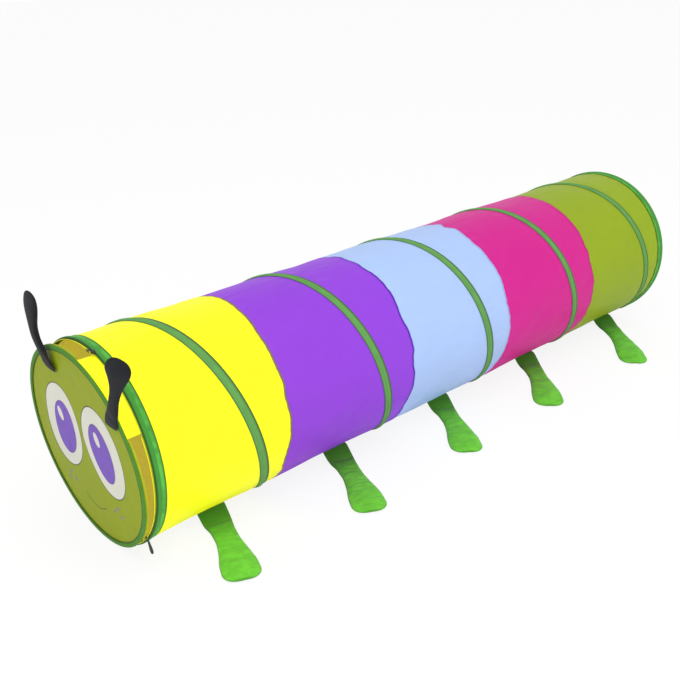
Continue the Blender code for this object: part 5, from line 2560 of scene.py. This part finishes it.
@dataclass
class Studio:
    """The floor, the light and the camera."""

    shop: Workshop
    floor_size: float = 30.0
    focal_pixels: float = 918.27
    image_pixels: float = 680.0
    camera_place: tuple[float, float, float] = (-0.7226, -1.5761, 1.2123)
    yaw: float = 0.7295
    pitch: float = -0.4297
    roll: float = -0.0213

    def floor(self) -> None:
        """Lay the pale floor, which shows white to the camera and keeps the object's shadow."""
        Modeller.deselect()
        bpy.ops.mesh.primitive_plane_add(size=self.floor_size, location=(0.0, 0.0, -0.0004))
        item = bpy.context.object
        item.name = "studio_floor"
        material = bpy.data.materials.new("studio_paper")
        material.use_nodes = True
        book = NodeBook(material.node_tree)
        shader = material.node_tree.nodes["Principled BSDF"]
        shader.inputs["Base Color"].default_value = (0.90, 0.90, 0.90, 1.0)
        shader.inputs["Roughness"].default_value = 0.9
        shader.inputs["Specular IOR Level"].default_value = 0.0
        path = book.add("ShaderNodeLightPath")
        bright = book.add("ShaderNodeEmission")
        book.feed(bright.inputs["Strength"], 1.0)
        seen = book.times(path.outputs["Is Camera Ray"], 0.86)
        blend = book.add("ShaderNodeMixShader")
        book.feed(blend.inputs[0], seen)
        book.feed(blend.inputs[1], shader.outputs[0])
        book.feed(blend.inputs[2], bright.outputs[0])
        output = material.node_tree.nodes["Material Output"]
        book.feed(output.inputs["Surface"], blend.outputs[0])
        item.data.materials.append(material)

    def light(self) -> None:
        """Light the tunnel softly from above, with white all round."""
        world = bpy.data.worlds.new("studio_world")
        bpy.context.scene.world = world
        world.use_nodes = True
        book = NodeBook(world.node_tree)
        background = world.node_tree.nodes["Background"]
        path = book.add("ShaderNodeLightPath")
        seen = book.math("MAXIMUM", path.outputs["Is Camera Ray"], path.outputs["Is Glossy Ray"])
        strength = book.math("MULTIPLY_ADD", seen, 0.12, 0.88)
        book.feed(background.inputs["Color"], (1.0, 1.0, 1.0, 1.0))
        book.feed(background.inputs["Strength"], strength)
        lamps = (
            ("key_softbox", (-0.9, -1.5, 3.6), 3.2, 55.0),
            ("fill_softbox", (-2.6, -2.2, 1.6), 2.0, 20.0),
            ("side_softbox", (0.9, -3.2, 1.0), 2.6, 15.0),
        )
        for name, place, size, power in lamps:
            data = bpy.data.lights.new(name, "AREA")
            data.size = size
            data.energy = power
            lamp = bpy.data.objects.new(name, data)
            lamp.location = place
            aim = Vector((0.0, 0.0, 0.2)) - Vector(place)
            lamp.rotation_euler = aim.to_track_quat("-Z", "Y").to_euler()
            bpy.context.scene.collection.objects.link(lamp)

    def camera(self) -> None:
        """Stand the camera where the photograph was taken from."""
        forward = Vector((
            math.sin(self.yaw) * math.cos(self.pitch), math.cos(self.yaw) * math.cos(self.pitch),
            math.sin(self.pitch),
        ))
        right = Vector((math.cos(self.yaw), -math.sin(self.yaw), 0.0))
        up = right.cross(forward)
        level_right, level_up = right.copy(), up.copy()
        right = level_right * math.cos(self.roll) + level_up * math.sin(self.roll)
        up = level_up * math.cos(self.roll) - level_right * math.sin(self.roll)
        data = bpy.data.cameras.new("photo_camera")
        data.sensor_width = 36.0
        data.lens = 36.0 * self.focal_pixels / self.image_pixels
        data.clip_start = 0.05
        camera = bpy.data.objects.new("photo_camera", data)
        turn = Matrix((right, up, -forward)).transposed()
        x, y, z = self.camera_place
        place = Vector((self.shop.plan.front + x, y, z))
        camera.matrix_world = Matrix.Translation(place) @ turn.to_4x4()
        bpy.context.scene.collection.objects.link(camera)
        bpy.context.scene.camera = camera

    def build(self) -> None:
        """Make the studio."""
        bpy.context.scene.view_settings.view_transform = "Standard"
        self.camera()
        self.light()
        self.floor()


def main() -> None:
    """Dress the tunnel and light it."""
    logging.basicConfig(level=logging.INFO, format="%(name)s %(message)s", stream=sys.stdout)
    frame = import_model()
    low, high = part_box("mouth_binding")
    plan = TunnelPlan(front=low.x, axis_height=(low.z + high.z) / 2.0)
    shop = Workshop(plan, frame)
    Studio(shop).build()
    SpringWire(shop).build()
    ClothTube(shop).build()
    SewnTapes(shop).build()
    door = FaceDoor(shop)
    door.build()
    ZipSliders(shop, door).build()
    Antennae(shop, door).build()
    PaddedLegs(shop).build()


if __name__ == "__main__":
    main()
